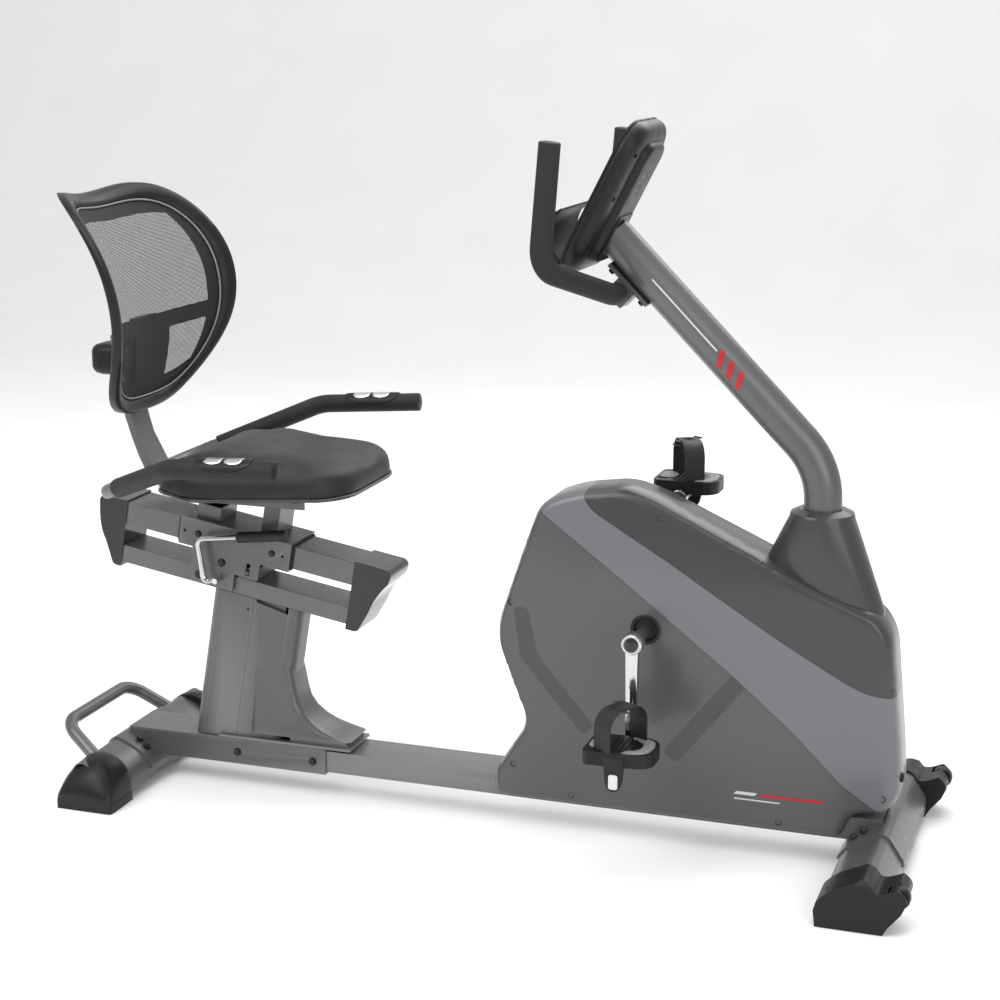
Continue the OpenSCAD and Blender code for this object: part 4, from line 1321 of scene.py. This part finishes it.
class BIKE_OT_carriage(bpy.types.Operator):
    """Finish the sliding carriage, its lock, lever and bolts"""

    bl_idname = "bike.carriage"
    bl_label = "Carriage and lever"

    def execute(self, context):
        soften("carriage_sleeve", "frame_paint", 0.0016)
        soften("sleeve_bushings", "black_plastic", 0.001)
        soften("seat_bracket", "frame_paint", 0.0012)
        soften("backrest_bar", "frame_paint", 0.0016)
        soften("lock_pawl", "dark_steel", 0.0009)
        soften("seat_lever", "crank_chrome", 0)
        self.grip()
        self.bolts()
        return {"FINISHED"}

    def grip(self):
        first, last = pt(-418, -68, 461.3), pt(-326, -68, 472.5)
        axis = (last - first).normalized()
        length = (last - first).length / MM
        profile = [(5.1, 0), (7.6, 0), (9.2, 1.6), (9.5, 4)]
        rows = int((length - 16) // 4)
        for i in range(rows):
            h = 8 + i * 4
            profile += [(9.5, h), (9.1, h + 0.8), (9.1, h + 1.2), (9.5, h + 2)]
        profile += [(9.5, length - 4), (8.9, length - 1.6), (7.2, length - 0.3), (0.3, length)]
        mesh = turned("lever_grip", profile, first, axis, 32)
        piece("lever_grip_finish", mesh, "seat_lever", "strap_rubber", replaces=("lever_grip",))

    def bolts(self):
        for word, side in SIDES.items():
            out = Vector((0, side, 0))
            for i, (s, n) in enumerate(((-70, -20), (70, -20), (-60, -92), (-20, -60))):
                if i < 2:
                    centre, flat = rail_point(s, side * 48, n), 0.0045
                else:
                    centre, flat = rail_point(s, side * 48, n), 0.0055
                piece(f"carriage_bolt_{word}_{i + 1}", hexagon_head("bolt", centre, out, flat, 0.004), "carriage",
                      "bolt_black")
            for i, x in enumerate((-490, -316)):
                piece(f"pan_bolt_{word}_{i + 1}", hexagon_head("bolt", pt(x, side * 52, 531), out, 0.005, 0.004),
                      "carriage", "bolt_black")


def rail_point(s, y, n):
    """A point of the rail frame: s along the rail, n square to it."""
    return pt(-430, 0, 464) + RAIL_DIR * (s * MM) + RAIL_UP * (n * MM) + pt(0, y, 0)


# ---------------------------------------------------------------- seat

SEAT_Z = 548.0
BAR_CORNERS = [pt(-624, 0, 541), pt(-624, -150, 541), pt(-418, -292, 628), pt(-232, -305, 640)]
SEAT_BEND = 0.06


class BIKE_OT_cushion(bpy.types.Operator):
    """Swell the seat cushion as padded cloth, and add its piping"""

    bl_idname = "bike.cushion"
    bl_label = "Seat cushion"

    def execute(self, context):
        source = NODES["seat_cushion"]
        mesh = source.data.copy()
        cushion = bpy.data.objects.new("seat_cushion_finish", mesh)
        bpy.context.scene.collection.objects.link(cushion)
        centre = sum((v.co for v in mesh.vertices), Vector()) / len(mesh.vertices)
        for v in mesh.vertices:
            v.co = Vector((lerp(centre.x, v.co.x, 0.994), lerp(centre.y, v.co.y, 0.994),
                           lerp(SEAT_Z * MM, v.co.z, 0.94) + 0.001))
        remesh = cushion.modifiers.new("even", "REMESH")
        remesh.mode = "VOXEL"
        remesh.voxel_size = 0.0055
        apply_modifiers(cushion)
        smooth = cushion.modifiers.new("relax", "SMOOTH")
        smooth.factor = 0.5
        smooth.iterations = 14
        apply_modifiers(cushion)
        self.inflate(context, cushion)
        sub = cushion.modifiers.new("fine", "SUBSURF")
        sub.levels = sub.render_levels = 1
        apply_modifiers(cushion)
        for face in cushion.data.polygons:
            face.use_smooth = True
        cushion.data.materials.clear()
        cushion.data.materials.append(material("seat_vinyl"))
        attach(cushion, "carriage")
        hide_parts("seat_cushion")
        self.piping()
        return {"FINISHED"}

    def inflate(self, context, cushion):
        """A short pressure simulation with the bottom held, each point's travel capped."""
        start = [v.co.copy() for v in cushion.data.vertices]
        low = min(p.z for p in start)
        group = cushion.vertex_groups.new(name="held")
        for i, p in enumerate(start):
            if p.z < low + 0.012:
                group.add([i], 1.0, "REPLACE")
        cloth = cushion.modifiers.new("cloth", "CLOTH")
        cloth.settings.use_pressure = True
        cloth.settings.uniform_pressure_force = 3.0
        cloth.settings.tension_stiffness = 60
        cloth.settings.compression_stiffness = 60
        cloth.settings.bending_stiffness = 30
        cloth.settings.quality = 5
        cloth.settings.mass = 0.4
        cloth.settings.vertex_group_mass = "held"
        cloth.settings.effector_weights.gravity = 0
        cloth.collision_settings.use_self_collision = False
        cloth.point_cache.frame_start = 1
        cloth.point_cache.frame_end = 20
        for number in range(1, 21):
            context.scene.frame_set(number)
        apply_modifiers(cushion)
        context.scene.frame_set(1)
        cap = sizes().cushion_cap
        low_corner, high_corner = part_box("seat_cushion")
        for v, p in zip(cushion.data.vertices, start):
            move = v.co - p
            if move.length > cap:
                v.co = p + move * (cap / move.length)
            v.co.z = min(max(v.co.z, low_corner[2] + 0.0003), high_corner[2] + 0.006)
        relax = cushion.modifiers.new("relax", "SMOOTH")
        relax.factor = 0.5
        relax.iterations = 24
        apply_modifiers(cushion)

    def piping(self):
        """A round piping along the lower edge of the cover."""
        outline = []
        low = SEAT_Z
        arcs = [(-466, -120, 62, 180, 250), (-430, -129, 76, 255, 300), (-290, -62, 96, 305, 360),
                (-290, 62, 96, 0, 55), (-430, 129, 76, 60, 105), (-466, 120, 62, 110, 180)]
        for x, y, r, a0, a1 in arcs:
            for k in range(7):
                g = math.radians(lerp(a0, a1, k / 6))
                outline.append((x + (r - 2.5) * math.cos(g), y + (r - 2.5) * math.sin(g)))
        line = [pt(x, y, low + 7) for x, y in fine(outline, 7)]
        hint = (line[1] - line[0]).cross(Vector((0, 0, 1))).normalized()
        mesh = sweep("piping", line, [(a, b) for a, b in circle(0.0030, 12)], hint, True, 60)
        piece("seat_piping", mesh, "carriage", "seat_vinyl", "piping")


BACK_CORNER = 4.0


def corner_pull(c, e):
    """How far the backrest's rounded square draws a square's outline in, in the direction (c, e)."""
    m = max(abs(c), abs(e))
    return m * (abs(c) ** BACK_CORNER + abs(e) ** BACK_CORNER) ** (-1 / BACK_CORNER)



def back_point(t, k, forward):
    """A point of the backrest's front face: t up from 0 to 1, k across from -1 to 1, forward in millimetres."""
    swell = math.sin(math.pi * t)
    edge = -618 - 44 * t + 86 * swell - 22 * max(0.0, t - 0.6) ** 2 * 6
    dish = 8 + 30 * t + 36 * swell
    wide = 150 + 34 * t + 47 * swell
    lift = max(0.0, t - 0.45) ** 2 * 3.3
    return pt(edge - dish * (1 - k * k) + forward, wide * k, 658 + 388 * t + (14 + 30 * lift) * k * k - 18 * lift)


def back_corner(angle, share):
    """The rounded square that the rim follows, at a share of its size: k and t."""
    c, e = math.cos(angle), math.sin(angle)
    grow = corner_pull(c, e) / max(abs(c), abs(e))
    return c * grow * share, 0.5 + 0.5 * e * grow * share


class BIKE_OT_backrest(bpy.types.Operator):
    """Build the backrest: moulded rim, woven net, lumbar band and the hub behind it"""

    bl_idname = "bike.backrest"
    bl_label = "Backrest"

    def execute(self, context):
        self.rim()
        self.net()
        self.hub()
        return {"FINISHED"}

    def rim(self):
        """Rounded rim with a fine welt along its inside."""
        section = [(1.0, -6), (1.006, 0), (1.004, 6), (0.99, 10.5), (0.965, 12), (0.93, 11.6), (0.895, 9),
                   (0.876, 5.4), (0.872, 2.4), (0.872, -3), (0.885, -6.6), (0.92, -8), (0.96, -8.2), (0.985, -7.6)]
        sides = 160
        rings = []
        for i in range(sides):
            a = 2 * math.pi * i / sides
            ring = []
            for share, forward in section:
                k, t = back_corner(a, min(share, 1.0))
                ring.append(back_point(t, k, forward))
            rings.append(ring)
        piece("backrest_frame_finish", rings_mesh("rim", rings, True, False, 60), "carriage", "black_plastic",
              replaces=("backrest_frame",))
        line = []
        for i in range(sides):
            k, t = back_corner(2 * math.pi * i / sides, 0.862)
            line.append(back_point(t, k, 5))
        mesh = sweep("welt", line, circle(0.0016, 10), Vector((1, 0, 0)), True, 60)
        piece("backrest_welt", mesh, "carriage", "back_mesh", "pad_grey")

    def net(self):
        """The woven sheet: see-through net with thicker borders, a lumbar band and a centre panel."""
        columns, rows = 72, 84
        bm = bmesh.new()
        uv = bm.loops.layers.uv.new("threads")
        grid = []
        for j in range(rows + 1):
            row = []
            for i in range(columns + 1):
                u = -1 + 2 * i / columns
                v = -1 + 2 * j / rows
                m = max(abs(u), abs(v), 1e-6)
                pull = corner_pull(u / math.hypot(u, v), v / math.hypot(u, v)) ** m ** 3 if m > 0.001 else 1.0
                k, t = 0.90 * u * pull, 0.5 + 0.45 * v * pull
                row.append((bm.verts.new(back_point(t, k, 2.0)), u, v))
            grid.append(row)
        for j in range(rows):
            for i in range(columns):
                quad = [grid[j][i], grid[j][i + 1], grid[j + 1][i + 1], grid[j + 1][i]]
                face = bm.faces.new([q[0] for q in quad])
                u = sum(q[1] for q in quad) / 4
                v = sum(q[2] for q in quad) / 4
                face.material_index = 1 if self.dense(u, v) else 0
                for loop, q in zip(face.loops, quad):
                    loop[uv].uv = (q[0].co.y, q[0].co.z)
        area = sum(f.calc_area() for f in bm.faces)
        net = piece("backrest_net", to_mesh(bm, "net", 60), "carriage", "back_mesh", "back_net", "back_border",
                    replaces=("backrest_mesh",))

    def dense(self, u, v):
        """True where the weave is dense: the border, the lumbar band and the panel below it."""
        if max(abs(u), abs(v)) > 0.82:
            return True
        if -0.34 < v < -0.16:
            return True
        return v <= -0.34 and abs(u) < 0.33

    def hub(self):
        """Spine and hub behind the net, where the backrest takes its bar."""
        rings = []
        for i in range(13):
            t = lerp(0.03, 0.42, i / 12)
            half = lerp(58, 40, (i / 12) ** 2)
            ring = []
            for a, b in round_rect(half, 6.5, 4.5, 4):
                p = back_point(t, 0, -9.5)
                ring.append(p + pt(b, a, 0))
            rings.append(ring)
        piece("backrest_spine", rings_mesh("spine", rings, smooth=40), "carriage", "black_plastic")
        rings = []
        for x, k in ((-624, 0.9), (-640, 1.0), (-688, 1.0), (-700, 0.94), (-706, 0.82), (-708, 0.66)):
            rings.append([pt(x, a * k, 746 + b * k) for a, b in round_rect(34, 27, 15, 6)])
        piece("backrest_hub", rings_mesh("hub", rings, smooth=50), "carriage", "black_plastic")


class BIKE_OT_seat_bar(bpy.types.Operator):
    """Build the bar beside the seat, its foam grips, plugs and pulse plates"""

    bl_idname = "bike.seat_bar"
    bl_label = "Seat handlebar"

    def execute(self, context):
        half = BAR_CORNERS[1:]
        path = list(reversed(half)) + mirrored(half)
        piece("seat_handlebar_finish", tube("seat_bar", path, BAR_RADIUS, SEAT_BEND), "carriage", "frame_paint",
              replaces=("seat_handlebar",))
        start = half[0] + (half[1] - half[0]).normalized() * 0.062
        grip = [start, half[1], half[2] + pt(3, -0.2, 0.2)]
        for word, side in SIDES.items():
            line = grip if side < 0 else mirrored(grip)
            mesh = tube("grip", line, 16.5 * MM, SEAT_BEND, 32, end_round=0.003)
            made = piece(f"seat_grip_{word}", mesh, "carriage", "grip_foam")
            if side > 0:
                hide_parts("seat_grips")
            ahead = (line[-1] - line[-2]).normalized()
            profile = [(0.3, -6), (11.6, -6), (12.2, 0.8), (9.4, 1.8), (0.3, 2.4)]
            piece(f"seat_plug_{word}", turned("plug", profile, line[-1] - ahead * 0.0006, ahead, 28), "carriage",
                  "black_plastic")
            self.sensor(word, side, ahead)
            self.holes(word, side)
        return {"FINISHED"}

    def sensor(self, word, side, ahead):
        """Boat-shaped black cradle on the grip, with two metal plates."""
        centre = pt(-318, side * 298.9, 634.4)
        up = Vector((0, 0, 1))
        up = (up - ahead * up.dot(ahead)).normalized()
        out = ahead.cross(up)

        def arc_piece(name, s0, s1, radius, span, taper, slot, finish, lip=0.6):
            rings = []
            steps = 14
            for i in range(steps + 1):
                q = i / steps
                s = lerp(s0, s1, q)
                shrink = 1 - taper * abs(2 * q - 1) ** 2.6
                ring = []
                for j in range(13):
                    g = math.radians(lerp(-span, span, j / 12) * shrink)
                    drop = lip if j in (0, 12) else 0.0
                    end = 0.6 if i in (0, steps) else 0.0
                    ring.append(centre + ahead * (s * MM)
                                + (up * math.cos(g) + out * math.sin(g)) * ((radius - drop - end) * MM))
                for j in range(12, -1, -1):
                    g = math.radians(lerp(-span, span, j / 12) * shrink)
                    ring.append(centre + ahead * (s * MM)
                                + (up * math.cos(g) + out * math.sin(g)) * ((16.2) * MM))
                rings.append(ring)
            return piece(name, rings_mesh(name, rings, smooth=30), "carriage", slot, finish)

        arc_piece(f"sensor_cradle_{word}", -50, 50, 19.0, 88, 0.5, "black_plastic", "black_plastic")
        made = arc_piece(f"sensor_plate_rear_{word}", -34, -2.5, 19.5, 48, 0.25, "sensor_steel", "sensor_steel")
        arc_piece(f"sensor_plate_front_{word}", 2.5, 34, 19.5, 48, 0.25, "sensor_steel", "sensor_steel")
        if side > 0:
            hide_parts("pulse_sensors")

    def holes(self, word, side):
        """Small adjustment holes in the bare part of the bar, each drawn as a thin gloss-black disc: painted shade
        where the hole is.
        """
        a, b = BAR_CORNERS[1], BAR_CORNERS[2]
        ahead = (b - a).normalized()
        out = Vector((0, 0, 1))
        out = (out - ahead * out.dot(ahead)).normalized()
        for i, s in enumerate((0.040, 0.050)):
            centre = a + ahead * s + out * (BAR_RADIUS - 0.0004)
            if side > 0:
                centre.y = -centre.y
            direction = Vector((out.x, -out.y, out.z))
            # Each hole is a thin black disc on the bar surface: painted shade, not an opening.
            profile = [(0.2, 0), (3.1, 0), (3.1, 0.5), (2.4, 0.55), (2.3, 0.2), (0.2, 0.2)]
            piece(f"bar_hole_{i + 1}_{word}", turned("hole", profile, centre, direction, 20), "carriage",
                  "frame_paint", "gloss_black")


# ---------------------------------------------------------------- stage


class BIKE_OT_stage(bpy.types.Operator):
    """Set up the pale floor, the soft lights and the camera"""

    bl_idname = "bike.stage"
    bl_label = "Stage"

    def execute(self, context):
        scene = context.scene
        self.floor()
        self.lights(scene)
        self.camera(scene)
        return {"FINISHED"}

    def floor(self):
        """A floor that curves up into a backdrop behind the bike."""
        profile = [(-9.0, 0.0), (4.0, 0.0)]
        for k in range(1, 13):
            g = math.radians(90 * k / 12)
            profile.append((4.0 + 2.5 * math.sin(g), 2.5 - 2.5 * math.cos(g)))
        profile.append((6.5, 9.0))
        bm = bmesh.new()
        rows = [[bm.verts.new((x, y, z - 0.0005)) for x in (-12, 12)] for y, z in profile]
        for low, high in zip(rows, rows[1:]):
            bm.faces.new((low[0], low[1], high[1], high[0]))
        mesh = to_mesh(bm, "floor", 60)
        obj = bpy.data.objects.new("floor", mesh)
        mesh.materials.append(material("studio_floor"))
        bpy.context.scene.collection.objects.link(obj)

    def lights(self, scene):
        world = bpy.data.worlds.new("studio")
        world.use_nodes = True
        world.node_tree.nodes["Background"].inputs["Color"].default_value = (1, 1, 1, 1)
        world.node_tree.nodes["Background"].inputs["Strength"].default_value = 0.66
        scene.world = world
        aim = Vector((0.0, 0.0, 0.55))
        for name, place, size, power in (("key", (-1.6, -2.6, 3.2), 2.6, 95), ("fill", (2.8, -2.2, 1.7), 2.4, 45),
                                         ("rim", (0.6, 2.2, 3.0), 2.4, 55), ("top", (0.0, 0.0, 3.6), 3.0, 50)):
            data = bpy.data.lights.new(name, "AREA")
            data.shape = "SQUARE"
            data.size = size
            data.energy = power
            lamp = bpy.data.objects.new(name, data)
            lamp.location = place
            lamp.rotation_euler = (aim - Vector(place)).to_track_quat("-Z", "Y").to_euler()
            scene.collection.objects.link(lamp)

    def camera(self, scene):
        data = bpy.data.cameras.new("camera")
        data.lens = 72.26
        data.sensor_width = 36
        eye = bpy.data.objects.new("camera", data)
        azimuth, elevation = math.radians(18.962), math.radians(13.511)
        back = Vector((math.sin(azimuth) * math.cos(elevation), -math.cos(azimuth) * math.cos(elevation),
                       math.sin(elevation)))
        right = Vector((math.cos(azimuth), math.sin(azimuth), 0))
        up = back.cross(right)
        turn = Matrix((right, up, back)).transposed().to_4x4()
        eye.matrix_world = Matrix.Translation(Vector((1.07552, -3.04303, 1.31950))) @ turn
        scene.collection.objects.link(eye)
        scene.camera = eye
        scene.view_settings.view_transform = "Standard"


# ---------------------------------------------------------------- panel and start


class BIKE_PT_panel(bpy.types.Panel):
    """Lists the sizes, colours and building steps"""

    bl_idname = "BIKE_PT_panel"
    bl_label = "Recumbent Bike"
    bl_space_type = "VIEW_3D"
    bl_region_type = "UI"
    bl_category = "Bike"

    def draw(self, context):
        layout = self.layout
        for group in (context.scene.bike_sizes, context.scene.bike_colours):
            box = layout.box()
            for name in group.bl_rna.properties.keys():
                if name not in {"rna_type", "name"}:
                    box.prop(group, name)
        for step in STEPS:
            layout.operator(step.bl_idname)


STEPS = (BIKE_OT_stage, BIKE_OT_frame, BIKE_OT_base_caps, BIKE_OT_housing, BIKE_OT_console, BIKE_OT_front_bar,
         BIKE_OT_cranks, BIKE_OT_pedals, BIKE_OT_carriage, BIKE_OT_cushion, BIKE_OT_backrest, BIKE_OT_seat_bar)
CLASSES = (BikeSizes, BikeColours) + STEPS + (BIKE_PT_panel,)


def register():
    for cls in CLASSES:
        bpy.utils.register_class(cls)
    bpy.types.Scene.bike_sizes = bpy.props.PointerProperty(type=BikeSizes)
    bpy.types.Scene.bike_colours = bpy.props.PointerProperty(type=BikeColours)


def unregister():
    del bpy.types.Scene.bike_colours
    del bpy.types.Scene.bike_sizes
    for cls in reversed(CLASSES):
        bpy.utils.unregister_class(cls)


def main():
    register()
    for step in STEPS:
        group, name = step.bl_idname.split(".")
        getattr(getattr(bpy.ops, group), name)()
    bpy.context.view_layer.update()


if __name__ == "__main__":
    main()
